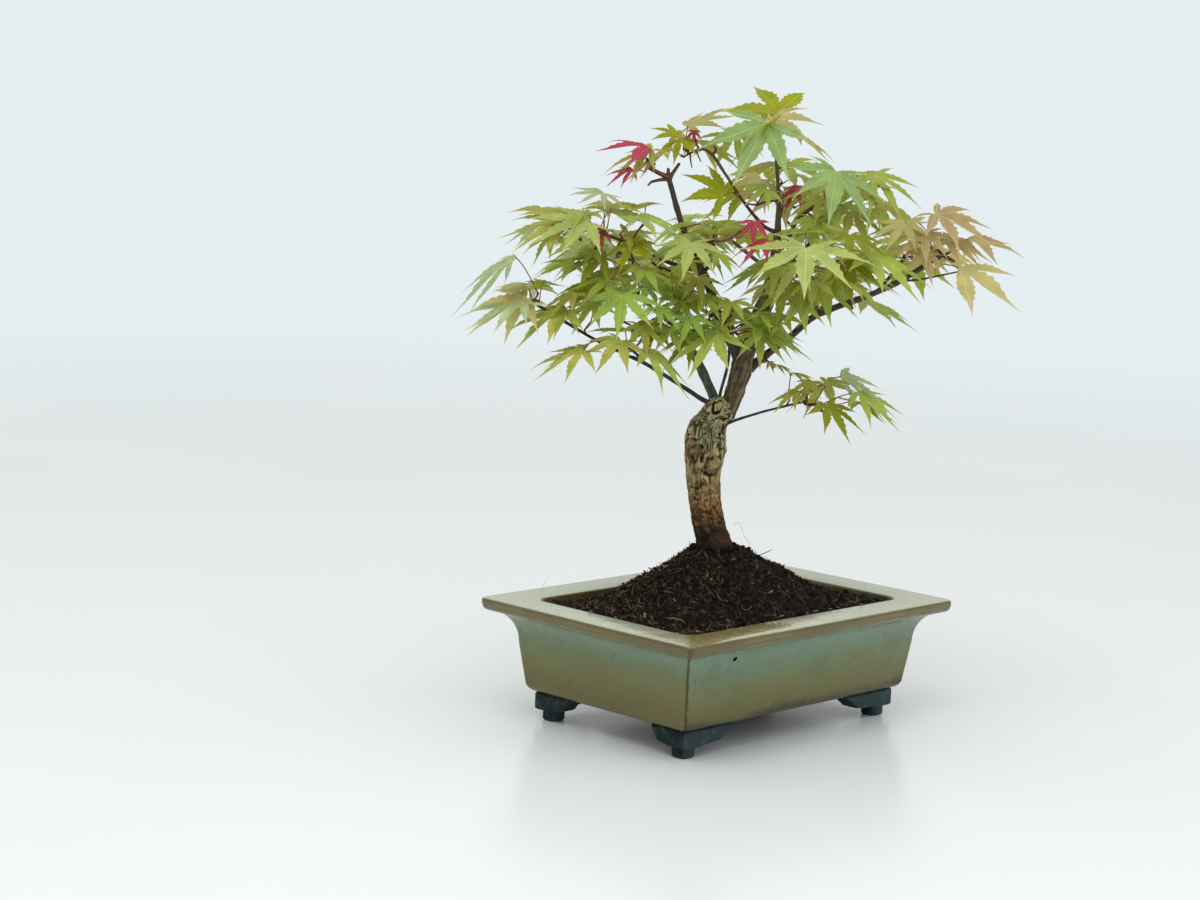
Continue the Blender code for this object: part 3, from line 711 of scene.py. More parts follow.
# painted light: the faces along the pot's long sides are painted paler
lit_long_faces = clay.math("ABSOLUTE", clay.parts(clay.node("NewGeometry", output=1))[1])
clay.surface(
    Base_Color=clay.paint(colour, rgb(110, 136, 140), clay.fade(lit_long_faces, 0.45, 0.75), 0.12),
    Roughness=clay.span(tooth, 0.34, 0.56),
    Normal=clay.relief(tooth, 0.00018, clay.relief(wash, 0.0004)),
    Specular_IOR_Level=0.1,
)
for name, side_x, side_y in (("front_left", -1, -1), ("front_right", 1, -1),
                             ("back_left", -1, 1), ("back_right", 1, 1)):
    foot = joined("clay_foot_" + name, [foot_arms(), foot_pad()])
    corner = POT_MIDDLE + Vector((side_x * (POT_LENGTH / 2 - FOOT_INSET),
                                  side_y * (POT_WIDTH / 2 - FOOT_INSET), 0))
    # mirrored to its own corner by sign, and the faces are turned outwards again
    for vertex in foot.data.vertices:
        vertex.co = corner + Vector((-side_x * vertex.co.x, -side_y * vertex.co.y, vertex.co.z))
    edit()
    face_outwards()
    bpy.ops.object.shade_smooth_by_angle(angle=math.radians(FOOT_SMOOTH_ANGLE))
    dress(foot, clay.material)
    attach(foot, "root")
    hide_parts("foot_" + name)
sole = min(vertex.co.z for vertex in foot.data.vertices)
print("foot faces:", len(foot.data.polygons), "lowest point:", round(sole, 5))

# %% [markdown]
# ## The soil
#
# Fresh potting mix is heaped up to the foot of the trunk: dark crumbs, bits of bark, and curly
# fibres, some of them pale. One displaced surface can't give that, because crumbs overhang and
# fibres stand off the ground. So the soil has layers: a lumpy mound from a grid, crumbs and chips
# as many copies of a few small shapes, and fibres as thin curves that are turned into a mesh.
#
# The mound starts as a grid at the size of the opening. A second step pulls its corners into the
# rounded corners of the pot and lifts every point to the height of the heap. The rim of the grid is
# then extruded down to the pot's floor and closed, so that the soil is a solid lump.

# %% Height of the heap
SOIL_EDGE, SOIL_PEAK, SOIL_HOLLOW = 0.0599, 0.0896, 1.14
SOIL_LEVEL_RADIUS = 0.0125
SOIL_WALL_GAP = 0.0004
SOIL_SOLE_SHARE = 0.93  # the soil's sole is drawn in, to stay clear of the floor's rounded edge
TRUNK_CLEAR = 0.0095   # nothing is scattered closer to the middle of the trunk than this
TRUNK_FOOT = tree_places((-3.0, 0.0, 0.0))
SOIL_KNOLL = tree_places((-17.0, -1.0, 0.0))
soil_half = tuple(side / 2 - inner_wall - SOIL_WALL_GAP for side in (POT_LENGTH, POT_WIDTH))


def lumps(x, y, size, seed=0.0):
    """Smooth noise from about -1 to 1 whose lumps are size metres across."""
    return noise.noise(Vector((x / size, y / size, seed)))


def soil_height(x, y):
    """Height of the heap, round in plan, over a place on the ground in metres."""
    share = math.hypot((x - TRUNK_FOOT[0]) / soil_half[0], (y - TRUNK_FOOT[1]) / soil_half[1])
    level = SOIL_LEVEL_RADIUS * 2 / (soil_half[0] + soil_half[1])
    share = min(1.0, max(0.0, share - level) / (1 - level))
    heap = SOIL_EDGE + (SOIL_PEAK - SOIL_EDGE) * (1 - share) ** SOIL_HOLLOW
    rough = 0.0018 * lumps(x, y, 0.014) + 0.0015 * lumps(x, y, 0.006, 3.0)
    rough += 0.0011 * lumps(x, y, 0.0028, 7.0) + 0.0006 * lumps(x, y, 0.0013, 9.0)
    beside = math.hypot(x - SOIL_KNOLL[0], y - SOIL_KNOLL[1]) / 0.0034
    return heap + rough * (0.5 + 0.5 * min(1.0, share * 6)) + 0.0016 * math.exp(-beside * beside)


print("the opening's half sides:", [round(half, 4) for half in soil_half])

# %% The mound
deselect()
bpy.ops.mesh.primitive_grid_add(x_subdivisions=190, y_subdivisions=130, size=2.0)
mound = started("soil_mound")
for vertex in mound.data.vertices:
    offset = Vector((vertex.co.x * soil_half[0], vertex.co.y * soil_half[1]))
    over = Vector([abs(offset[i]) - soil_half[i] + INNER_CORNER for i in range(2)])
    if over.x > 0 and over.y > 0 and over.length > INNER_CORNER:
        pulled = over * (INNER_CORNER / over.length)
        for i in range(2):
            offset[i] = math.copysign(soil_half[i] - INNER_CORNER + pulled[i], offset[i])
    place = POT_MIDDLE + Vector((offset.x, offset.y, 0))
    vertex.co = (place.x, place.y, soil_height(place.x, place.y))
edit("EDGE", "DESELECT")
bpy.ops.mesh.select_non_manifold()
extrude(0, 0, -0.01)
resize((SOIL_SOLE_SHARE, SOIL_SOLE_SHARE, 0.0), (POT_MIDDLE.x, POT_MIDDLE.y, INNER_FLOOR + GAP))
bpy.ops.mesh.fill_holes(sides=0)
face_outwards()
bpy.ops.object.shade_smooth()
print("mound faces:", len(mound.data.polygons))

# %% [markdown]
# Crumbs and chips repeat by the thousand, so each is modelled once with only a few faces and then
# copied by numbers: a turn, a size and a place for every copy, all gathered into one mesh. Fibres
# are drawn as curves with a round bevel, each with its own thickness, and converted to a mesh.

# %% Helpers for copies and threads
def keep_shape(obj):
    """The vertices and faces of a small modelled shape, which is then removed."""
    points = np.array([vertex.co[:] for vertex in obj.data.vertices])
    faces = [tuple(face.vertices) for face in obj.data.polygons]
    bpy.data.objects.remove(obj)
    return points, faces


def one_mesh(name, parts):
    """One object from parts, each an array of points and a list of faces."""
    points, faces, count = [], [], 0
    for part_points, part_faces in parts:
        points.append(part_points)
        faces.extend(tuple(index + count for index in face) for face in part_faces)
        count += len(part_points)
    mesh = bpy.data.meshes.new(name)
    mesh.from_pydata(np.concatenate(points).tolist(), [], faces)
    return place_in_scene(name, mesh)


def copied_mesh(name, shapes, copies):
    """One object from copies, each a tuple of shape number, place, turn matrix and three sizes."""
    return one_mesh(name, [(shapes[number][0] * size @ np.array(turn).T + place, shapes[number][1])
                           for number, place, turn, size in copies])


def threads(name, paths, steps=1):
    """One mesh of round threads. A path is a list of (place, diameter), all in metres."""
    curve = bpy.data.curves.new(name, "CURVE")
    curve.dimensions = "3D"
    curve.bevel_depth = 0.5
    curve.bevel_resolution = steps
    curve.use_fill_caps = True
    for path in paths:
        spline = curve.splines.new("POLY")
        spline.points.add(len(path) - 1)
        for point, (place, diameter) in zip(spline.points, path):
            point.co = (*place, 1.0)
            point.radius = diameter
    obj = place_in_scene(name, curve)
    deselect()
    obj.select_set(True)
    bpy.context.view_layer.objects.active = obj
    bpy.ops.object.convert(target="MESH")
    obj = bpy.context.object
    obj.name = name
    bpy.ops.object.shade_smooth()
    return obj


def random_turn(chance):
    """A random rotation as a 3 by 3 matrix."""
    angles = [chance.uniform(0, 2 * math.pi) for _ in range(3)]
    return Euler(angles).to_matrix()


def on_soil(chance, reach=1.0):
    """A random place on the heap, at most reach of the way out to the wall."""
    while True:
        x = POT_MIDDLE.x + chance.uniform(-1, 1) * soil_half[0] * reach
        y = POT_MIDDLE.y + chance.uniform(-1, 1) * soil_half[1] * reach
        if math.hypot(x - TRUNK_FOOT[0], y - TRUNK_FOOT[1]) > TRUNK_CLEAR:
            return Vector((x, y, soil_height(x, y)))


# %% The shapes of crumbs and chips
chance = random.Random(11)
crumb_shapes = []
for _ in range(4):
    deselect()
    bpy.ops.mesh.primitive_ico_sphere_add(subdivisions=1, radius=0.5)
    lump = bpy.context.object
    for vertex in lump.data.vertices:
        vertex.co *= chance.uniform(0.65, 1.25)
    crumb_shapes.append(keep_shape(lump))
CHIP = len(crumb_shapes)
deselect()
bpy.ops.mesh.primitive_cube_add(size=1.0)
chip = bpy.context.object
edit(select="SELECT")
bpy.ops.mesh.bevel(offset=0.22, segments=1)
leave_edit()
for vertex in chip.data.vertices:
    vertex.co.y *= 0.75 + 0.5 * vertex.co.x
crumb_shapes.append(keep_shape(chip))
print("faces of the shapes:", [len(faces) for _, faces in crumb_shapes])

# %% [markdown]
# Round crumbs may lie any way up, but flat chips come to rest nearly level, so they are only
# tumbled a little. Chips and fibres that should gather at the dry left side are each given three
# places by chance, and the one furthest to the left is kept.

# %% Crumbs and chips
CRUMBS, CHIPS, FOOT_CRUMBS, DRY_CHIPS, PALE_CHIPS = 4600, 420, 260, 260, 80
# crumbs and slivers on the rim, most near the front edge, in shares of the opening's half sides
SPILLED = ((0.20, -0.985), (0.33, -1), (0.41, -0.99), (0.62, -1.03), (-0.9, -0.98), (-1.02, 0.25))


def furthest_left(chance, reach, tries=3):
    places = [on_soil(chance, reach) for _ in range(tries)]
    return min(places, key=lambda place: place.x - place.y)


def round_crumb(chance, place, size):
    """One of the lumps at a place, turned any way and flattened a little."""
    return (chance.randrange(CHIP), place, random_turn(chance),
            size * np.array((1.0, chance.uniform(0.6, 1.0), chance.uniform(0.5, 0.9))))


def level_turn(chance, tumble):
    """A turn for something flat that lies nearly level; tumble is its usual tilt in radians."""
    tilts = chance.gauss(0, tumble), chance.gauss(0, tumble)
    return Euler((*tilts, chance.uniform(0, 6.28))).to_matrix()


def flat_chips(chance, count, reach, lengths, tumble, widths, thickness, lift, tries=1):
    """Chips on the heap. Widths and thickness are shares of a chip's length in millimetres."""
    for _ in range(count):
        place = furthest_left(chance, reach, tries)
        length = chance.uniform(*lengths) * MM
        lie = level_turn(chance, tumble)
        size = np.array((length, length * chance.uniform(*widths), length * thickness))
        yield CHIP, place + Vector((0, 0, lift)), lie, size


crumbs = []
for _ in range(CRUMBS):
    place = on_soil(chance, 0.985)
    size = MM * min(3.0, 0.55 + chance.expovariate(1.7))
    crumbs.append(round_crumb(chance, place + Vector((0, 0, size * 0.22)), size))
crumbs.extend(flat_chips(chance, CHIPS, 0.98, (1.5, 4.0), 0.5, (0.25, 0.5), 0.14, 0.0004))
# crumbs heaped against the foot of the trunk
for _ in range(FOOT_CRUMBS):
    around, out = chance.uniform(0, 2 * math.pi), chance.uniform(0.0094, 0.0128)
    x, y = TRUNK_FOOT[0] + out * math.cos(around), TRUNK_FOOT[1] + out * math.sin(around)
    size = MM * chance.uniform(0.8, 2.4)
    height = soil_height(x, y) + max(0.0, 0.0122 - out) * chance.uniform(0.1, 0.9)
    crumbs.append(round_crumb(chance, Vector((x, y, height)), size))
crumb_piece = copied_mesh("soil_crumbs", crumb_shapes, crumbs)

dry_chips = list(flat_chips(chance, DRY_CHIPS, 0.97, (1.0, 3.2), 0.6, (0.2, 0.5), 0.2, 0.0007, 3))
dry_piece = copied_mesh("dry_chips", crumb_shapes, dry_chips)
pale_chips = list(flat_chips(chance, PALE_CHIPS, 0.97, (1.2, 3.0), 0.5, (0.3, 0.6), 0.2, 0.0007))
for along, aside in SPILLED:
    x = POT_MIDDLE.x + along * soil_half[0]
    y = POT_MIDDLE.y + aside * soil_half[1]
    on_rim = abs(aside) > 0.97 or abs(along) > 0.97
    height = POT_TOP + 0.0002 if on_rim else soil_height(x, y)
    pale_chips.append((CHIP, Vector((x, y, height)), level_turn(chance, 0.2),
                       np.array((0.0026, 0.0009, 0.0005))))
chip_piece = copied_mesh("pale_chips", crumb_shapes, pale_chips)
print("crumbs:", len(crumbs), "dry chips:", len(dry_chips), "pale chips:", len(pale_chips))

# %% Fibres
FIBRE_STEPS = 8
DARK_FIBRES, PALE_FIBRES, DRY_FIBRES = 330, 90, 300


def fibre(chance, length, diameter, start=None, lift=0.0012):
    """A curly thread that creeps over the heap, its ends a little off the ground."""
    place = start or on_soil(chance, 0.93)
    heading = chance.uniform(0, 2 * math.pi)
    curl = chance.gauss(0, 0.55)
    path = []
    for step in range(FIBRE_STEPS + 1):
        share = step / FIBRE_STEPS
        ground = max(soil_height(place.x, place.y), SOIL_EDGE)
        height = ground + 0.0003 + lift * (abs(share - 0.5) * 2) ** 2 * chance.uniform(0.3, 1.0)
        path.append(((place.x, place.y, height), diameter * (1 - 0.5 * share)))
        heading += curl * 0.6 + chance.gauss(0, 0.22)
        ahead = place + Vector((math.cos(heading), math.sin(heading), 0)) * length / FIBRE_STEPS
        if all(abs(ahead[i] - POT_MIDDLE[i]) <= soil_half[i] for i in range(2)):
            place = ahead
        else:
            heading += math.pi / 2
    return path


chance = random.Random(23)
dark_fibres = [fibre(chance, chance.uniform(4, 15) * MM, chance.uniform(0.22, 0.5) * MM)
               for _ in range(DARK_FIBRES)]
pale_fibres = [fibre(chance, chance.uniform(3, 11) * MM, chance.uniform(0.14, 0.28) * MM,
                     lift=0.0018) for _ in range(PALE_FIBRES)]
# the left of the heap is drier, with many short fine fibres, every third of them pale
for number in range(DRY_FIBRES):
    start = furthest_left(chance, 0.97)
    length, diameter = chance.uniform(2, 8) * MM, chance.uniform(0.14, 0.34) * MM
    kind = pale_fibres if number % 3 == 0 else dark_fibres
    kind.append(fibre(chance, length, diameter, start, 0.0022))


def tree_thread(rows):
    """A thread through rows of across, back, up and diameter in millimetres."""
    places = tree_places([row[:3] for row in rows])
    return [(tuple(place), row[3] * MM) for place, row in zip(places, rows)]


# single ones: an arched fibre and a short one by the trunk, one on the front edge, one at the left
SINGLE_FIBRES = (
    (pale_fibres, ((5, -4, 99.5, 0.2), (7.5, -4.5, 101, 0.18), (9.5, -4.5, 98, 0.16),
                   (11, -4.5, 93.5, 0.16), (13.5, -4, 91, 0.16), (15, -4, 84.5, 0.15))),
    (dark_fibres, ((17, -5, 84.5, 0.4), (19.5, -4, 84.2, 0.45), (22, -3, 85.2, 0.4),
                   (25.5, -3, 87, 0.3))),
    (pale_fibres, ((-31, -57, 59.5, 0.45), (-29, -60, 60.8, 0.6), (-25, -62, 61.3, 0.65),
                   (-21.5, -63, 60.6, 0.55), (-20, -64, 59.5, 0.4))),
    (pale_fibres, ((-93, 2, 60.4, 0.14), (-91.5, 1.5, 63.5, 0.12), (-89.5, 1, 68, 0.1))),
)
for kind, rows in SINGLE_FIBRES:
    kind.append(tree_thread(rows))
dark_piece = threads("soil_fibres", dark_fibres)
pale_piece = threads("pale_fibres", pale_fibres)
print("fibres:", len(dark_fibres), len(pale_fibres))

# %% [markdown]
# Damp peat is almost black and drinks the light. Its crumbs differ a little in tone from one to the
# next, which a fine cell pattern gives, and the wetter ones have a dull shine. Fibres are red-brown
# and the youngest ones pale.

# %% Soil finishes
def soil_finish(name, dark, mid, light):
    finish = Finish(name)
    here = finish.place()
    tone = finish.noise(here, 210.0, 3.0, 0.6)
    fleck = finish.parts(finish.cells(here, 620.0, output=1))[0]
    grit = finish.noise(here, 2400.0, 3.0, 0.65)
    colour = finish.steps(tone, (0.30, dark), (0.62, mid))
    colour = finish.paint(colour, light, finish.fade(fleck, 0.72, 0.98), 0.55)
    soaked = finish.blend(0.45, colour, dark)
    finish.surface(
        Base_Color=finish.blend(finish.fade(grit, 0.35, 0.7), soaked, colour),
        Roughness=finish.span(tone, 0.62, 0.95),
        Normal=finish.relief(grit, 0.0005),
        Specular_IOR_Level=0.15,
    )
    return finish.material


peat = soil_finish("peat", rgb(5, 4, 3), rgb(23, 17, 12), rgb(84, 64, 46))
root_brown = soil_finish("root_fibre", rgb(42, 32, 24), rgb(84, 66, 49), rgb(144, 118, 88))
bark_chip = soil_finish("bark_chip", rgb(58, 44, 30), rgb(108, 85, 60), rgb(160, 132, 98))
straw = soil_finish("straw_fibre", rgb(112, 90, 66), rgb(158, 134, 102), rgb(206, 186, 150))
soil_pieces = ((mound, peat), (crumb_piece, peat), (dark_piece, root_brown),
               (dry_piece, bark_chip), (pale_piece, straw), (chip_piece, straw))
for piece, material in soil_pieces:
    dress(piece, material)
    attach(piece, "root")
    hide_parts("soil")
print("soil faces:", sum(len(piece.data.polygons) for piece, _ in soil_pieces))

# %% [markdown]
# ## The trunk
#
# An old stump, cut back hard more than once: it leans a little, narrows, then swells into a gnarled
# knuckle where several limbs start. Its bark has long flaky ridges half way up, wriggling cracks
# lower down, brown burls, smooth grey-green patches and, at the top, an uneven pruning scar with a
# small knob beside it. The foot is stained dark by wet soil.
#
# Sculpting would be natural here, but it can't be repeated from a script. So the bark is rolled: a
# fine flat grid is bent round a centre line like a sheet of clay round a stick, and every point is
# pushed in or out by a relief worked out for its own angle and height. The seam is merged, the ends
# are filled, and the depth of the relief is stored on the mesh so that the finish can put dark in
# the cracks and pale tones on the ridges, exactly where they are.

# %% A helper that rolls bark round a line
def smooth_line(rows, steps):
    """Rows of numbers with a Catmull-Rom curve through them, steps points to each gap."""
    rows = np.asarray(rows, float)
    padded = np.vstack((rows[:1], rows, rows[-1:]))
    line = []
    for before, here, after, beyond in zip(padded, padded[1:], padded[2:], padded[3:]):
        for step in range(steps):
            t = step / steps
            line.append((-0.5 * t + t * t - 0.5 * t ** 3) * before
                        + (1 - 2.5 * t * t + 1.5 * t ** 3) * here
                        + (0.5 * t + 2 * t * t - 1.5 * t ** 3) * after
                        + (-0.5 * t * t + 0.5 * t ** 3) * beyond)
            line[-1][3] = here[3] + (after[3] - here[3]) * t
    return np.array(line + [rows[-1]])


def carried_frames(centres):
    """Two directions across the line at each of its points, carried along it without twisting."""
    ahead = np.gradient(centres, axis=0)
    ahead /= np.linalg.norm(ahead, axis=1)[:, None]
    side = np.cross(ahead[0], ACROSS if abs(ahead[0] @ ACROSS) < 0.8 else UP)
    sides, others = [], []
    for along in ahead:
        side = side - along * (side @ along)
        side /= np.linalg.norm(side)
        sides.append(side)
        others.append(np.cross(along, side))
    return np.array(sides), np.array(others)


def rolled_bark(name, centres, radii, frames, around, relief):
    """A closed bark surface. relief(angle, row) gives a height in metres and named marks."""
    rows = len(centres) - 1
    deselect()
    bpy.ops.mesh.primitive_grid_add(x_subdivisions=around, y_subdivisions=rows, size=1.0)
    bark = started(name)
    sheet = np.empty(len(bark.data.vertices) * 3)
    bark.data.vertices.foreach_get("co", sheet)
    sheet = sheet.reshape(-1, 3) + 0.5
    sides, others = frames
    points = np.empty_like(sheet)
    marks = {}
    for index, (u, v, _) in enumerate(sheet):
        angle = 2 * math.pi * round(u * around) / around % (2 * math.pi)
        row = min(rows, round(v * rows))
        height, found = relief(angle, row)
        outwards = sides[row] * math.cos(angle) + others[row] * math.sin(angle)
        points[index] = centres[row] + outwards * (radii[row] + height)
        for mark, value in found.items():
            marks.setdefault(mark, []).append(value)
    bark.data.vertices.foreach_set("co", points.ravel())
    for mark, values in marks.items():
        layer = bark.data.attributes.new(mark, "FLOAT", "POINT")
        layer.data.foreach_set("value", values)
    edit(select="SELECT")
    bpy.ops.mesh.remove_doubles(threshold=1e-7)
    bpy.ops.mesh.fill_holes(sides=0)
    face_outwards()
    bpy.ops.object.shade_smooth()
    return bark


def bell(distance):
    """1 at a distance of 0, falling smoothly to almost nothing at 2."""
    return math.exp(-distance * distance)


def ease(value, start, end):
    """0 at start and 1 at end, smooth between them."""
    share = min(1.0, max(0.0, (value - start) / (end - start)))
    return share * share * (3 - 2 * share)


# %% The trunk's line, its burls and its lumps
# rows of across, back, up and diameter in millimetres
TRUNK = (
    (-3.6, 0, 82, 21.6),
    (-4.1, 0, 86, 19.8),
    (-5.2, 0, 91.5, 18.2),
    (-7.1, 0.3, 98, 17.3),
    (-8.9, 0.6, 105.6, 16.8),
    (-11, 1, 117.6, 16.8),
    (-11.5, 1, 126.3, 17.8),
    (-11.2, 1, 130, 19),
    (-10.9, 0.6, 138, 21.2),
    (-11, 0.2, 143.7, 21),
    (-9.8, 0, 150.7, 19.2),
    (-6.9, 0, 155.6, 17.2),
    (-5.8, 0, 159.8, 14.2),
    (-5.2, 0, 162.7, 11.6),
    (-5, 0, 164.4, 8),
    (-5, 0, 165.2, 3),
)
TRUNK_AROUND = 190
trunk_line = smooth_line(TRUNK, 16)
trunk_up = trunk_line[:, 2]
# burls: angle round the trunk in degrees (270 faces the front), height, radius, bulge, and how far
# the middle is sunken
BURLS = (
    (228, 138, 4.8, 1.5, 0.10),
    (293, 130.5, 4.3, 2.1, 0.35),
    (60, 134, 5, 1.5, 0.3),
    (130, 146, 4.6, 1.3, 0),
    (20, 118, 3.4, 0.7, 0.3),
)
# plain lumps and hollows: angle, height, radius, bulge, strength of the crack round it, where 1 is
# kept for the knob beside the scar
LUMPS = (
    (208, 148.5, 3.2, 1.3, 0.7),
    (212, 155.6, 1.7, -1.1, 0),
    (234, 159.4, 1.9, 1.1, 1),
    (316, 142, 3, 1, 0.8),
    (336, 138, 2.2, 0.9, 0.5),
    (306, 157.5, 3, 1.1, 0.6),
    (284, 151, 2.2, -0.6, 0),
    (262, 146, 3, -0.5, 0),
    (350, 155, 3.6, 1.2, 0.5),
    (340, 148, 2, -0.7, 0),
    (160, 153, 3.4, 1, 0.5),
    (90, 156, 4, 1.2, 0.5),
    (100, 140, 3.2, -0.6, 0),
    (262, 128, 2.2, -0.5, 0),
)
SCAR_ANGLE, SCAR_UP, SCAR_SIZE = 268, 161.2, (2.3, 2.9)
print("points along the trunk:", len(trunk_line))

# %% [markdown]
# The relief of one point is worked out in millimetres. Noise that is stretched upwards gives long
# ridges, and noise bent by other noise gives wriggling ones. A crack runs wherever a noise crosses
# zero, so a narrow bell round zero draws it. Lumps, burls and the scar are then laid over that,
# each by how far the point lies from its middle.

# %% The trunk's relief
def turn_between(angle, degrees):
    """The signed difference of two directions round the trunk, in radians."""
    return (angle - math.radians(degrees) + math.pi) % (2 * math.pi) - math.pi


def trunk_relief(angle, row):
    up = trunk_up[row]
    radius = trunk_line[row][3] / 2
    x, y = radius * math.cos(angle), radius * math.sin(angle)
    # the grain parts round a burl like water round a stone
    flow = angle
    for degrees, middle, size, _, _ in BURLS:
        turn = turn_between(angle, degrees)
        flow -= 0.85 * turn * bell(math.hypot(turn * radius, (up - middle) * 0.7) / (size * 1.5))
    fx, fy = radius * math.cos(flow), radius * math.sin(flow)
    streaked = ease(up, 117, 125) * (1 - ease(up, 148, 156))
    low = 1 - ease(up, 95, 108)
    wander = noise.noise(Vector((x * 0.15, y * 0.15, up * 0.11)))
    swirl = noise.noise(Vector((x * 0.30 + 3, y * 0.30, up * 0.30)))
    patchy = noise.noise(Vector((x * 0.24 + 9, y * 0.24, up * 0.22)))
    long_grain = noise.noise(
        Vector((fx * 0.46 + 0.5 * swirl, fy * 0.46, up * 0.055 + 1.1 * wander)))
    fine_grain = noise.noise(Vector((fx * 1.1, fy * 1.1, up * 0.20 + wander)))
    wriggle = noise.noise(Vector((x * 0.36 + 1.1 * swirl, y * 0.36, up * 0.50 + 1.2 * wander)))
    small_wriggle = noise.noise(
        Vector((x * 0.62 + 1.3 * swirl, y * 0.62, up * 0.66 + 1.5 * wander)))
    fine = noise.noise(Vector((x * 2.0, y * 2.0, up * 1.6)))
    long_crack = bell(long_grain / 0.085) * ease(patchy, -0.30, 0.05)
    short_crack = bell(wriggle / 0.085) * ease(patchy, 0.45, 0.0)
    hair_crack = bell(small_wriggle / 0.090) * 0.5 * ease(fine_grain, -0.4, 0.0)
    ridges = 0.55 * abs(long_grain) ** 0.7 * streaked + 0.40 * abs(wriggle) ** 0.7 * (1 - streaked)
    height = 1.6 * ridges - 0.22 + 0.22 * fine_grain + 0.14 * fine + 0.20 * swirl
    crack = max(long_crack * (0.25 + 0.75 * streaked),
                short_crack * (1 - 0.7 * streaked) * (1 - 0.7 * low),
                hair_crack * (1 - 0.4 * streaked))
    brown = ease(112 - up + 6 * wriggle, -2, 9) * (1 - low)
    pale = 0.0
    bulge = 0.0
    knob = 9.0
    for degrees, middle, size, rise, ring in LUMPS:
        away = math.hypot(turn_between(angle, degrees) * radius, up - middle) / size
        if away < 3:
            bulge += rise * bell(away)
            if ring == 1:
                knob = away + 0.3 * swirl
            ring *= bell((away + 0.5 * swirl - 1.1) / 0.17) * ease(swirl, -0.35, 0.05)
            crack = max(crack, ring)
    for degrees, middle, size, rise, sunken in BURLS:
        away = math.hypot(turn_between(angle, degrees) * radius, up - middle) / size
        away += 0.22 * wriggle
        if away < 3:
            bulge += rise * (bell(away) - sunken * bell(away * 2.3))
            brown = max(brown, ease(away + 0.3 * fine_grain, 1.30, 0.85))
            pale = max(pale, sunken * 1.3 * ease(away + 0.3 * fine, 0.62, 0.30))
            height += 0.16 * math.sin(away * 9 + 4 * wander) * ease(away, 1.7, 0.9)
            crack *= 1 - 0.5 * ease(away, 1.1, 0.7)
            crack = max(crack, 0.8 * bell((away - 1.25) / 0.16) * ease(swirl, -0.2, 0.15))
    # smooth grey-green bark: one patch under the scar, more of it round the back
    front = bell(turn_between(angle, SCAR_ANGLE) / 0.50) * bell((up - 147) / 8.0)
    front = ease(front + 0.7 * wriggle + 0.4 * fine_grain, 0.42, 0.66)
    back = ease(noise.noise(Vector((x * 0.2 + 5, y * 0.2, up * 0.12))), 0.12, 0.3)
    back *= ease(math.sin(angle), -0.2, 0.3)
    grey = max(front, back * ease(up, 126, 140)) * (1 - brown)
    height *= 1 - 0.5 * grey
    crack *= 1 - 0.5 * grey
    # the pruning scar: an uneven dark groove, pointed below, round a raised pale middle
    across = turn_between(angle, SCAR_ANGLE) * radius / SCAR_SIZE[0]
    above = (up - SCAR_UP) / SCAR_SIZE[1]
    out = math.hypot(across, above)
    if out < 3:
        spoke = math.atan2(above, across)
        outline = 1 + 0.45 * max(0.0, -math.sin(spoke)) ** 5 - 0.32 * bell((spoke - 1.9) / 0.4)
        outline *= 1 + 0.10 * math.sin(2 * spoke + 0.6) + 0.05 * math.sin(5 * spoke)
        away = out - outline * (1 + 0.16 * fine_grain)
        groove = bell(away / (0.11 + 0.26 * ease(-across - above, -0.4, 1.1)))
        groove *= 1 - 0.75 * bell((spoke - 0.5) / 0.5)
        # the bark heals over the cut in uneven folds
        fold = math.sin(4.2 * out + 4.5 * swirl + 1.5 * wriggle) + 0.3 * fine_grain
        folded = ease(out, 3.0, 1.7) * ease(away, 0.2, 0.6)
        between = 0.9 * bell(fold / 0.26) * folded * ease(swirl, -0.4, 0.0)
        crack = max(crack * (1 - 0.5 * folded), between)
        height += 0.45 * (abs(fold) - 0.5) * folded
        split = bell((across + 0.35 * above + 0.15) / 0.13) * bell((above + 0.55) / 0.5)
        split *= ease(away, 0.0, -0.3)
        calm = ease(away, 1.1, 0.2)
        crack = max(crack * (1 - calm), groove, 0.8 * split)
        height = (height * (1 - 0.6 * calm) + 0.40 * bell((away - 0.42) / 0.22)
                  + 0.35 * ease(away, 0.0, -0.5))
        pale = max(pale, 0.75 * ease(away + 0.3 * wriggle, 0.95, 0.3))
        brown *= 1 - calm
        grey *= 1 - calm
    # a small knob beside the scar, pale and ringed like it
    if knob < 3:
        crack = max(crack * ease(knob, 0.6, 1.0), 0.85 * bell((knob - 1.15) / 0.20))
        pale = max(pale, 0.6 * ease(knob, 1.10, 0.75))
        grey *= ease(knob, 0.8, 1.4)
    height += low * (0.35 * swirl + 0.30 * long_grain)
    flare = 0.05 * max(0.0, 1 - (up - 84) / 14) * math.cos(5 * angle + 0.6)
    total = height * (1 - 0.3 * low) - 0.55 * crack + bulge + flare * radius
    depth = 0.53 + 0.85 * height - (0.72 - 0.36 * (1 - ease(up, 114, 128))) * crack
    return total * MM, {"depth": depth, "brown": brown, "grey": grey, "pale": pale}


trunk_centres = tree_places(trunk_line[:, :3])
level_frames = [np.tile(direction, (len(trunk_line), 1)) for direction in (ACROSS, BACK)]
trunk_bark = rolled_bark("trunk_bark", trunk_centres, trunk_line[:, 3] / 2 * MM, level_frames,
                         TRUNK_AROUND, trunk_relief)
print("trunk faces:", len(trunk_bark.data.polygons))

# %% [markdown]
# The bark's finish reads the marks that the relief left on the mesh. Ridges are buff and paler at
# the knuckle, cracks are dark, burls brown with a pale callus, patches grey-green. Lower down the
# bark is tanned, then orange-brown, then nearly black and reddish on one side where it stays wet,
# and soil clings to its very foot.

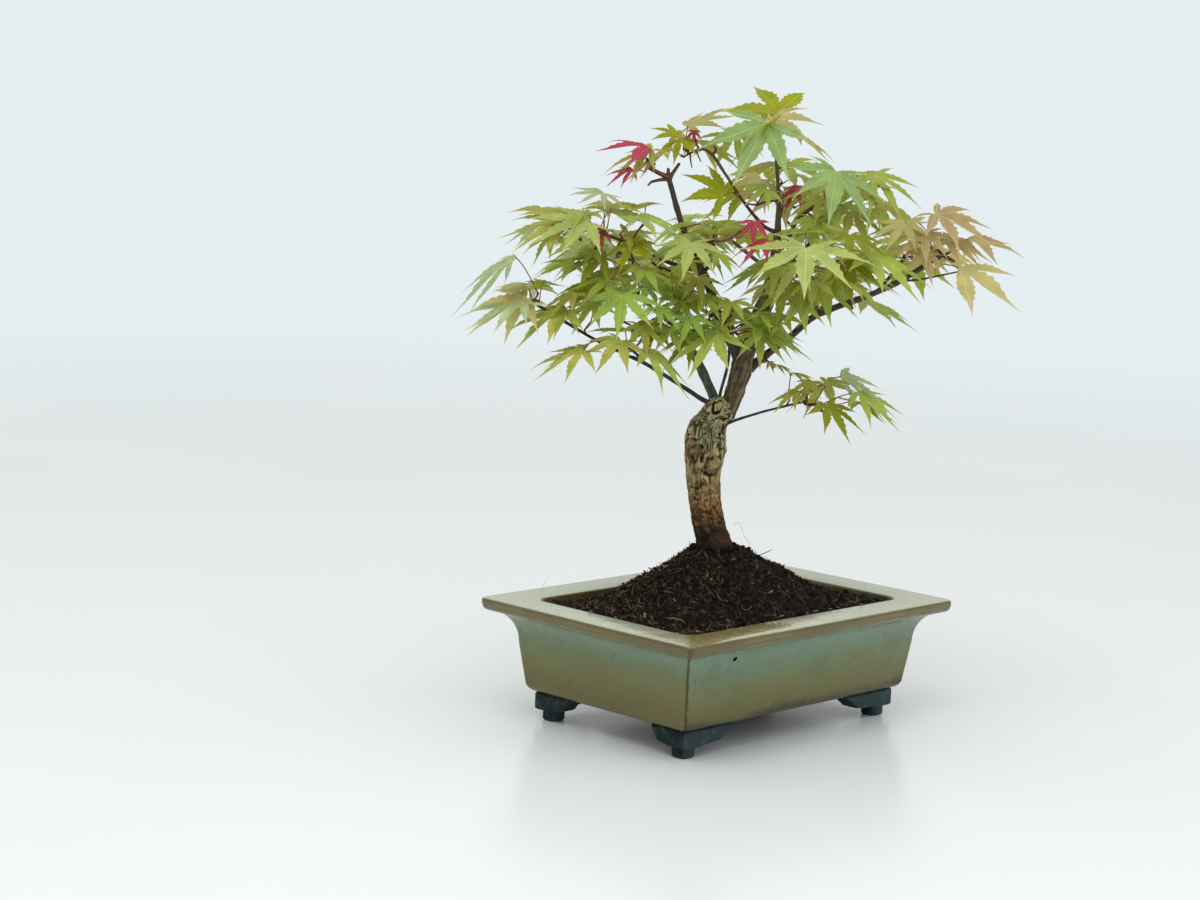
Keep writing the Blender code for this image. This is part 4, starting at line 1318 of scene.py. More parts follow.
# %% Trunk bark finish: tones of ridges, cracks and marks
skin = Finish("trunk_bark")
here = skin.place()
height_up = skin.parts(here)[2]
tone = skin.noise(here, 240.0, 4.0, 0.6)
blotch = skin.noise(here, 380.0, 3.0, 0.6)
grain = skin.noise(skin.place((1, 1, 0.25)), 1500.0, 4.0, 0.6)
specks = skin.noise(here, 3200.0, 2.0)
depth = skin.scaled(grain, 0.36, skin.plus(skin.mark("depth"), -0.18))
ridge = skin.steps(
    depth,
    (0.02, rgb(24, 18, 10)),
    (0.20, rgb(72, 60, 37)),
    (0.40, rgb(130, 116, 78)),
    (0.64, rgb(174, 160, 114)),
    (0.92, rgb(212, 201, 156)),
)
knuckle = skin.times(skin.fade(height_up, 0.140, 0.156), skin.fade(depth, 0.30, 0.75))
ridge = skin.paint(ridge, rgb(204, 200, 172), knuckle, 0.75)
ridge = skin.paint(ridge, rgb(96, 78, 48), skin.fade(tone, 0.45, 0.7), 0.45)
grey_tone = skin.blend(skin.fade(blotch, 0.47, 0.54), rgb(150, 147, 116), rgb(74, 76, 54))
grey_tone = skin.paint(grey_tone, rgb(40, 38, 26), skin.fade(depth, 0.30, 0.12))
colour = skin.paint(ridge, grey_tone, skin.mark("grey"), 0.85)
burl = skin.steps(depth, (0.05, rgb(26, 16, 9)), (0.5, rgb(92, 65, 40)), (0.95, rgb(140, 110, 76)))
colour = skin.paint(colour, burl, skin.mark("brown"), 0.85)
callus = skin.steps(
    depth,
    (0.08, rgb(24, 17, 10)),
    (0.38, rgb(142, 122, 84)),
    (0.8, rgb(190, 172, 130)),
)
colour = skin.paint(colour, callus, skin.mark("pale"))
print("nodes so far:", len(skin.tree.nodes))

# %% Trunk bark finish: the stained foot
level = skin.plus(height_up, skin.scaled(tone, 0.016, -0.008))
warm = skin.steps(depth, (0.1, rgb(56, 34, 18)), (0.5, rgb(122, 86, 50)), (0.9, rgb(184, 142, 92)))
colour = skin.paint(colour, warm, skin.fade(level, 0.136, 0.116), 0.42)
colour = skin.paint(colour, warm, skin.fade(level, 0.118, 0.108), 0.8)
wet = skin.fade(level, 0.1125, 0.0985)
wet_tone = skin.blend(skin.fade(tone, 0.4, 0.7), rgb(10, 7, 5), rgb(34, 22, 15))
inputs = {0: skin.place(middle=TRUNK_FOOT), 1: tuple(ACROSS)}
sideways = skin.node("VectorMath", inputs, output=1, operation="DOT_PRODUCT")
reddish = skin.times(skin.fade(sideways, -0.003, 0.006), skin.fade(grain, 0.3, 0.65))
wet_tone = skin.paint(wet_tone, rgb(72, 38, 24), reddish)
colour = skin.paint(colour, wet_tone, wet, 0.93)
soiled = skin.fade(skin.scaled(grain, 0.005, height_up), 0.0950, 0.0915)
colour = skin.paint(colour, rgb(20, 14, 10), soiled, 0.85)
skin.surface(
    Base_Color=colour,
    Roughness=skin.scaled(wet, -0.12, skin.span(grain, 0.72, 0.92)),
    Normal=skin.relief(specks, 0.00015, skin.relief(grain, 0.0005)),
    Specular_IOR_Level=0.2,
)
dress(trunk_bark, skin.material)
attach(trunk_bark, "root")
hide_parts("trunk")
print("trunk finish nodes:", len(skin.tree.nodes))

# %% [markdown]
# ## The limbs
#
# Two leaders and a handful of thin shoots rise from the knuckle. The thick leader has brown, finely
# ridged bark, one bough is smooth and grey-green, the low shoots are nearly black, and the youngest
# wood is red-brown. A curve with a bevel would give each limb its taper, but not its swollen
# joints, the ridges along it or the collar where it leaves the older wood, so limbs are rolled in
# the same way as the trunk, only from a coarser sheet.
#
# Each limb is a short list of places with a diameter. The places follow the frame's own limbs, so
# what is seen and what the frame collides with are the same tree. Only the upper left shoot is
# carried a little further.

# %% The limbs: bark, then across, back, up and diameter in millimetres, from the root to the end
LIMBS = {
    "main_leader": ("leader_bark", (
        (-1, 0.5, 155, 8.6), (2.4, 1, 166, 9.4), (5.2, 2, 176.3, 10.2), (7.9, 3, 189, 10),
        (13.8, 5, 205.5, 8.8),
        (19.9, 6, 222.9, 8), (21, 6, 237, 5.4), (21.4, 5, 256.8, 2.7), (20.3, 2, 274, 2),
        (17, 0, 304, 1.4))),
    "second_leader": ("shoot_bark", (
        (6, 3, 179.5, 5.4), (2.2, 2, 189.2, 5.4), (-6.3, -2, 204.2, 4.8), (-12.8, -6, 221.6, 4.6),
        (-20.7, -9, 236.7, 3.8), (-28, -12, 252.7, 3), (-35, -15, 274, 2.6),
        (-36.2, -15.4, 279, 3))),
    "grey_green_bough": ("green_bark", (
        (-6, 0, 160, 4.8), (-9.4, 3, 168, 4.6), (-16.7, 9, 182.5, 4.4), (-22, 15, 191.5, 4),
        (-24.4, 21, 201, 3.2), (-28, 33, 211, 2.6), (-35, 54, 222, 2))),
    "right_bough": ("shoot_bark", (
        (10, 3.5, 180, 4.6), (19, 2, 188, 3.8), (30, 0, 197.3, 3.5), (42.8, -4, 209.2, 3.4),
        (68.8, -8, 220.7, 2.9), (84, -10, 228.8, 2.8), (95.8, -12, 237.2, 2.5),
        (104, -13, 242.8, 2.2))),
    "low_left_bough": ("dark_bark", (
        (-5, -1, 160.5, 2.8), (-12.5, -2, 163, 2.6), (-25.5, -8, 171.3, 2.1),
        (-44.5, -20, 183.1, 2),
        (-54.8, -26, 187.9, 1.6), (-71.1, -34, 196.1, 1.5), (-100, -48, 213.5, 1.5))),
    "low_left_fork": ("dark_bark", (
        (-44.5, -20, 183.1, 1.6), (-49, -26, 188.5, 1.5), (-54, -43, 193.5, 1.5))),
    "low_right_bough": ("dark_bark", (
        (-3, -2, 150.5, 2.2), (4.5, -5, 154.2, 1.4), (18.4, -14, 160.3, 1.2),
        (36, -22, 166.5, 1.2))),
    "thin_stem": ("dark_bark", (
        (-4.8, 2.5, 160.5, 1.7), (-4.4, 1, 167, 1.6), (-2, -5, 179.6, 1.5), (-1.4, -12, 190, 1.5),
        (-3, -26, 203, 1.5))),
    "left_back_shoot": ("shoot_bark", (
        (-23.2, 18, 196.5, 2), (-31, 11, 200.5, 1.8), (-50, -16, 218, 1.6))),
    "upper_left_shoot": ("shoot_bark", (
        (-17, -8, 229.5, 2.4), (-24, -12, 231, 2.1), (-39.1, -22, 235.9, 1.8),
        (-58, -34, 245, 1.6), (-72, -39, 249, 1.3))),
    "centre_shoot": ("shoot_bark", (
        (-16.5, -8, 229, 2.2), (-13, -13, 234.5, 1.8), (-12.5, -35, 250, 1.6))),
    "top_left_stub": ("young_bark", (
        (-36, -15.4, 276.5, 2.4), (-41, -18, 278.6, 2.2), (-47, -21.5, 281.5, 1.8))),
    "high_left_shoot": ("young_bark", (
        (21, 4.5, 250, 2.2), (13.5, 1, 253.5, 1.8), (2.6, -4, 265.6, 1.6), (-5.7, -8, 277, 1.5),
        (-14.3, -10.5, 288.3, 1.6), (-20, -12.5, 291, 1.3), (-26, -14, 288.5, 1.1),
        (-29, -15, 286.5, 1))),
    "upper_right_shoot": ("young_bark", (
        (20.6, 6, 238, 2.8), (26, 5, 245, 2.3), (31.5, 3.5, 257, 2.1), (42, 1.5, 266, 1.8))),
    "front_shoot": ("shoot_bark", (
        (20.9, 6, 231, 3), (24.5, -3, 233, 2.4), (34, -36, 241, 2))),
    "back_bough": ("shoot_bark", (
        (18.5, 6, 216, 3.8), (24.5, 18, 221, 3.2), (33, 37, 231, 2.6), (44, 66, 243, 2))),
    "back_left_bough": ("shoot_bark", (
        (26, 21.5, 222.5, 2.4), (19, 37, 229, 2.2), (-4, 86, 245, 1.8))),
    "high_back_shoot": ("young_bark", (
        (21.4, 5, 256, 2.4), (23.5, 14, 262, 2), (25, 27, 268, 1.7))),
    "right_mid_shoot": ("shoot_bark", (
        (42.8, -4, 209.2, 2.2), (46, 3, 213, 2), (54, 15, 220, 1.7))),
    "right_back_shoot": ("shoot_bark", (
        (68.8, -8, 220.7, 2.2), (76, 6, 224, 2), (90, 36, 237, 1.7))),
    "left_side_shoot": ("shoot_bark", (
        (-27, 29, 207.5, 2), (-38, 29, 220, 1.8), (-60, 25, 236.5, 1.6))),
}
# short stubs, buds and thin twigs, all of young wood
STUBS = (
    ((-35.2, -15.2, 276, 2.2), (-33.4, -15.1, 279.2, 1.7), (-30.4, -15, 283.8, 1.5)),
    ((-35.8, -15.5, 276, 2), (-36, -15.9, 278.5, 1.8), (-36.2, -16.4, 281.2, 1.4)),
    ((-36.5, -15.6, 275.5, 1.8), (-40.5, -16.6, 275, 1.6), (-44.5, -18, 273.9, 1.3)),
    ((-44, -18, 274.2, 1.1), (-46.2, -18.4, 272, 0.9)),
    ((-43.5, -18.6, 280.5, 1.8), (-46, -19.5, 283, 1.7), (-47.4, -20, 286, 1.2)),
    ((21, 5.5, 240, 2.2), (24, 4, 243, 1.8), (25.5, 3, 246.5, 1.4)),
    ((-14.6, -10.6, 288, 1.5), (-12.5, -10.4, 290.5, 1.2), (-13.6, -10, 293, 0.9)),
    ((-25.5, -14, 288.6, 1), (-25, -14.2, 284.8, 0.8), (-24.2, -14.4, 281.5, 0.5)),
    ((-22.5, -13.2, 290.2, 1), (-21, -13.4, 287, 0.7), (-19.8, -13.6, 284.6, 0.5)),
    ((104, -13, 242.6, 2), (107.5, -14, 240.6, 1.6), (110, -15, 239.4, 1.2)),
    ((83.8, -11, 228.6, 1.4), (92, -12.5, 229.6, 1.1), (101.9, -14, 232, 1), (112, -19, 235, 0.8)),
    ((42.8, -4, 209.2, 2.4), (42.2, -5.5, 213.6, 1.8), (42, -6.5, 216.5, 1.5)),
)
THICK = 4.5            # a limb whose root is thicker than this gets the finer sheet
print("limbs:", len(LIMBS))

# %% [markdown]
# A joint is where a pair of leaves once grew: a low swelling with a ring-shaped scar. The gap
# between joints varies, so they are drawn from a seeded generator, one for each limb, which keeps a
# limb the same even when another limb is changed.

# %% Roll the limbs
def rolled_limb(name, rows, bark):
    """A limb with a collar at its root, joints along it, ridges and a rounded end."""
    chance = random.Random(name)
    thick, ridged = rows[0][3] > THICK, bark == "leader_bark"
    line = smooth_line(rows, 16 if thick else 12)
    centres = tree_places(line[:, :3])
    gaps = np.linalg.norm(np.diff(line[:, :3], axis=0), axis=1)
    run = np.concatenate(([0.0], np.cumsum(gaps)))
    joints, at = [], chance.uniform(10, 20)
    while at < run[-1] - 3:
        joints.append((at, chance.uniform(0.10, 0.22) * (0.35 if ridged else 1.0)))
        at += chance.uniform(11, 24)
    radii = []
    for length, (_, _, _, diameter) in zip(run, line):
        swell = 1 + (0.0 if ridged else 0.30) * math.exp(-length / (1.1 * line[0][3]))
        for middle, rise in joints:
            swell += rise * bell((length - middle) / (0.45 * diameter + 0.5))
        left = (run[-1] - length) / (0.5 * diameter)
        tip = math.sqrt(max(0.0, 1 - (1 - left) ** 2)) if left < 1 else 1.0
        radii.append(diameter / 2 * swell * max(0.35, tip) * MM)
    ridge = 0.055 if ridged else 0.022
    shift = chance.uniform(0, 40)

    def limb_relief(angle, row):
        radius = radii[row] / MM
        x, y, length = math.cos(angle) * 1.6, math.sin(angle) * 1.6, run[row]
        bend = 0.5 * noise.noise(Vector((x * 0.5, y * 0.5, length * 0.09 + shift)))
        long_grain = noise.noise(Vector((x * 1.9 + bend, y * 1.9, length * 0.10 + shift)))
        grain = noise.noise(Vector((x * 3.8, y * 3.8, length * 0.45 + shift)))
        knobs = noise.noise(Vector((x * 0.7, y * 0.7, length * 0.20 + shift + 9)))
        crack = bell(long_grain / 0.10) if ridged else 0.0
        scar = max((bell((length - middle) / 0.35) for middle, _ in joints), default=0.0)
        height = radius * (ridge * (2.4 * long_grain + grain) + 0.07 * knobs)
        height -= 0.10 * radius ** 0.5 * crack
        height -= 0.05 * radius * scar
        depth = 0.55 + 0.55 * long_grain + 0.35 * grain - 0.4 * crack - 0.3 * scar
        return height * MM, {"depth": depth, "share": length / run[-1]}

    around = (44 if ridged else 24) if thick else 14
    return rolled_bark(name, centres, radii, carried_frames(centres), around, limb_relief)


limb_pieces = {}
for name, (bark, rows) in LIMBS.items():
    limb_pieces.setdefault(bark, []).append(rolled_limb("limb_" + name, rows, bark))
for number, rows in enumerate(STUBS):
    limb_pieces["young_bark"].append(rolled_limb(f"stub_{number}", rows, "young_bark"))
print("limbs rolled:", sum(len(pieces) for pieces in limb_pieces.values()))

# %% [markdown]
# All the barks, and the skin of the red leaf stalks, are one recipe with different tones: dark
# cracks, a body tone, paler ridges and small pale flecks. The limbs of one bark are joined into one
# piece before they are dressed.

# %% Limb bark finishes
# the tones of cracks, body, ridges and flecks, and the range of roughness
BARKS = {
    "leader_bark": ((54, 43, 29), (108, 92, 64), (150, 133, 98), (166, 150, 116), (0.65, 0.85)),
    "shoot_bark": ((28, 24, 20), (62, 52, 42), (96, 80, 60), (126, 112, 88), (0.50, 0.75)),
    "green_bark": ((38, 44, 36), (72, 82, 66), (104, 112, 88), (132, 136, 112), (0.50, 0.75)),
    "dark_bark": ((20, 24, 24), (42, 48, 46), (66, 72, 66), (96, 100, 88), (0.50, 0.75)),
    "young_bark": ((50, 24, 18), (98, 50, 36), (134, 84, 56), (158, 118, 84), (0.38, 0.6)),
    "stalk_red": ((92, 30, 26), (150, 58, 44), (176, 92, 62), (190, 120, 84), (0.35, 0.5)),
}
STREAK = 0.35          # how far long streaks shift a point between crack and ridge


def limb_finish(name):
    *tones, shine = BARKS[name]
    crack, bark, ridge, fleck = (rgb(*tone) for tone in tones)
    finish = Finish(name)
    here = finish.place()
    streaks = finish.noise(finish.place((1, 1, 0.22)), 900.0, 4.0, 0.6)
    tone = finish.noise(here, 150.0, 3.0, 0.6)
    fine = finish.noise(here, 2600.0, 3.0, 0.6)
    depth = finish.scaled(streaks, STREAK * 2, finish.plus(finish.mark("depth"), -STREAK))
    colour = finish.steps(depth, (0.08, crack), (0.45, bark), (0.92, ridge))
    colour = finish.blend(finish.fade(tone, 0.38, 0.68), finish.blend(0.35, colour, crack), colour)
    dots = finish.cells(finish.place((1, 1, 0.6)), 900.0)
    finish.surface(
        Base_Color=finish.paint(colour, fleck, finish.fade(dots, 0.24, 0.10), 0.5),
        Roughness=finish.span(tone, *shine),
        Normal=finish.relief(fine, 0.00025, finish.relief(streaks, 0.0004)),
    )
    return finish.material


bark_finishes = {name: limb_finish(name) for name in BARKS}
for bark, pieces in limb_pieces.items():
    names = [name for name, (kind, _) in LIMBS.items() if kind == bark]
    limbs = joined(bark + "_limbs", pieces)
    dress(limbs, bark_finishes[bark])
    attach(limbs, "root")
    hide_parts(*names)
    print(bark, "faces:", len(limbs.data.polygons), "limbs:", len(names))

# %% [markdown]
# ## The leaves
#
# A maple leaf is a hand of five or seven narrow lobes with toothed edges and long drawn-out tips.
# A picture on a flat card is the quick way to make one, but its outline would be false from every
# other side. Here each leaf is a small mesh in its own outline. It begins as a fan of triangles,
# the palm of the hand. Each lobe is then drawn out of two edges of the palm, step by step: extrude
# along the lobe, resize about the midrib, and let some steps narrow a little to leave a tooth. The
# corners between the lobes lie a little higher than the midribs, so every lobe is folded along its
# midrib, as on the real leaf.
#
# Only a few leaves are modelled. The tree gets copies of them in other sizes and poses.

# %% Leaf shapes: for each lobe its angle from the middle one, its length and its half-width
LEAF_SHAPES = {
    "broad": ((0, 1.00, 0.114), (37, 0.93, 0.112), (75, 0.78, 0.104), (116, 0.45, 0.082)),
    "open": ((0, 1.00, 0.112), (39, 0.98, 0.112), (79, 0.88, 0.106), (122, 0.54, 0.084)),
    "narrow": ((0, 1.00, 0.084), (35, 0.95, 0.084), (71, 0.82, 0.080), (110, 0.48, 0.066)),
    "five": ((0, 1.00, 0.132), (43, 0.90, 0.130), (90, 0.62, 0.112)),
    "young": ((0, 1.00, 0.088), (32, 0.86, 0.086), (68, 0.60, 0.074)),
    "three": ((0, 1.00, 0.145), (50, 0.90, 0.135)),
    "slim": ((0, 1.00, 0.070), (30, 0.86, 0.066), (64, 0.50, 0.056)),
}
SINUS = 0.25           # how far out the cuts between the lobes begin, in lobe lengths
FOLD = 0.045           # height of those cuts above the midribs, in leaf lengths
BASE_TURN, BASE_REACH, BASE_FOLD = 24, 0.30, 0.3   # the palm's corners beside the stalk
PALM_OVER = 0.02       # how far the palm's corners reach into the lobes
# along a lobe: share of its length, share of its half-width
LOBE_STEPS = ((0.32, 0.76), (0.40, 1.02), (0.435, 0.84), (0.52, 1.08), (0.555, 0.84), (0.635, 0.92),
              (0.67, 0.62), (0.74, 0.60), (0.775, 0.34), (0.88, 0.17), (1.00, 0.02))


def lobe_list(shape):
    """All the lobes of a leaf, from its right base round its tip to its left base."""
    right = [(-angle, length, width) for angle, length, width in LEAF_SHAPES[shape][:0:-1]]
    return right + list(LEAF_SHAPES[shape])


def leaf_direction(degrees):
    """A level direction; 0 points along +Y, the way the middle lobe grows, and + turns to +X."""
    angle = math.radians(degrees)
    return Vector((math.sin(angle), math.cos(angle), 0.0))


def base_corner(angle, length):
    return leaf_direction(angle) * BASE_REACH * length + Vector((0, 0, FOLD * BASE_FOLD))


def leaf_palm(lobes):
    """The palm's corners: base, lobes with the cuts between them, base, stalk."""
    palm = [base_corner(lobes[0][0] - BASE_TURN, lobes[0][1])]
    for number, (angle, length, _) in enumerate(lobes):
        palm.append(leaf_direction(angle) * (SINUS * length + PALM_OVER))
        if number + 1 < len(lobes):
            beside, beside_length, _ = lobes[number + 1]
            reach = SINUS * (length + beside_length) / 2
            palm.append(leaf_direction((angle + beside) / 2) * reach + Vector((0, 0, FOLD)))
    palm.append(base_corner(lobes[-1][0] + BASE_TURN, lobes[-1][1]))
    return [*palm, Vector((0.0, -0.02, 0.0))]


print("lobes of the broad leaf:", [angle for angle, _, _ in lobe_list("broad")])

# %% [markdown]
# Modelling works on the fan's own edges: the two edges between three corners of the palm are
# selected, and each step of a lobe is one extrusion and one resize. The UV map is worked out at the
# end. It runs from 0 to 1 along each lobe, and lies at 0.5 on its midrib.

# %% Model the leaves
LEAF_RIPPLE = 0.012


def draw_lobe(leaf, corners, lobe):
    """Draws one lobe out of the palm's two edges between three corners."""
    angle, length, width = lobe
    along = leaf_direction(angle)
    reach = SINUS * length + PALM_OVER
    middle = along * reach
    now = (leaf.data.vertices[corners[0]].co - leaf.data.vertices[corners[2]].co).length / 2
    edit("EDGE", "DESELECT")
    leave_edit()
    for edge in leaf.data.edges:
        edge.select = set(edge.vertices) <= set(corners)
    edit()
    for share, wide in LOBE_STEPS:
        step = along * (share * length - reach)
        extrude(*step)
        reach = share * length
        middle += step
        size = width * wide * math.sqrt(length) / now
        now *= size
        resize((size, size, size), middle)
    leave_edit()


def model_leaf(shape, chance):
    """Points, faces and face UVs of one leaf of size 1, with its stalk end at the origin."""
    lobes = [(angle + chance.gauss(0, 1.8), length * chance.uniform(0.94, 1.06), width)
             for angle, length, width in lobe_list(shape)]
    palm = leaf_palm(lobes)
    deselect()
    bpy.ops.mesh.primitive_circle_add(vertices=len(palm), radius=0.2, fill_type="TRIFAN")
    leaf = bpy.context.object
    mesh = leaf.data
    rim = [vertex.index for vertex in mesh.vertices if vertex.co.length > 0.1]
    rim.sort(key=lambda index: math.atan2(mesh.vertices[index].co.x, mesh.vertices[index].co.y))
    for index, place in zip(rim, palm):
        mesh.vertices[index].co = place
    for number, lobe in enumerate(lobes):
        draw_lobe(leaf, rim[2 * number:2 * number + 3], lobe)
    edit(select="SELECT")
    bpy.ops.mesh.remove_doubles(threshold=0.0005)
    face_outwards()
    if sum(face.normal.z * face.area for face in mesh.polygons) < 0:
        mesh.flip_normals()
    points = np.array([vertex.co[:] for vertex in mesh.vertices])
    points[:, 2] += LEAF_RIPPLE * np.sin(points[:, 0] * 9 + points[:, 1] * 7)
    uvs = []
    for face in mesh.polygons:
        heading = math.degrees(math.atan2(face.center.x, face.center.y))
        angle, length, _ = min(lobes, key=lambda lobe: abs(lobe[0] - heading))
        along = leaf_direction(angle)
        for index in face.vertices:
            place = Vector(points[index])
            uvs.append((place.dot(along) / length, place.x * along.y - place.y * along.x + 0.5))
    faces = [tuple(face.vertices) for face in mesh.polygons]
    bpy.data.objects.remove(leaf)
    return points, faces, uvs


chance = random.Random(5)
LEAF_KINDS = {"broad": 3, "open": 2, "narrow": 2, "five": 2, "young": 1, "three": 1, "slim": 1}
leaf_models = {shape: [model_leaf(shape, chance) for _ in range(count)]
               for shape, count in LEAF_KINDS.items()}
for shape, models in leaf_models.items():
    print(shape, "leaf faces:", [len(faces) for _, faces, _ in models])

# %% [markdown]
# The pose of a leaf is where its stalk meets it, which way its middle lobe points, how steeply it
# points down, how it rolls about that lobe, its size, and how much its lobes droop. The droop is a
# bend in the world's own down direction, which makes tilted leaves hang instead of curling.

# %% Pose a leaf
def leaf_axes(heading, tilt, roll):
    """Middle lobe, side and face directions in the tree's frame, from angles in degrees."""
    h, t, r = (math.radians(value) for value in (heading, tilt, roll))
    forward = np.array((math.cos(h) * math.cos(t), math.sin(h) * math.cos(t), -math.sin(t)))
    level_side = np.array((math.sin(h), -math.cos(h), 0.0))
    level_face = np.cross(level_side, forward)
    side = level_side * math.cos(r) - level_face * math.sin(r)
    return forward, side, np.cross(side, forward)


def posed_leaf(points, pose):
    """Places in metres of a leaf's points for a pose of place, heading, tilt, roll, size, droop."""
    place, heading, tilt, roll, size, droop = pose
    forward, side, face = leaf_axes(heading, tilt, roll)
    rows = points[:, 0:1] * side + points[:, 1:2] * forward + points[:, 2:3] * face
    rows = np.array(place) + rows * size
    reach = np.hypot(points[:, 0], points[:, 1])
    rows[:, 2] -= droop * size * reach ** 2
    return tree_places(rows)


test_points = posed_leaf(leaf_models["broad"][0][0], ((0, 0, 250), 270, 25, 0, 30, 0.1))
print("a 30 mm leaf spans", (np.ptp(test_points, axis=0) * 1000).round(1), "mm")

# %% [markdown]
# ## The foliage
#
# The canopy is made of loose pads of foliage, and each pad of the frame tells where its leaves
# belong. The leaves that show from the front carry the tree's character, so they are posed one by
# one in the table below. The rest grow by rule: each pad gets more leaves on a spiral round its
# middle, pointing outwards and hanging a little, as leaves do that share the light.

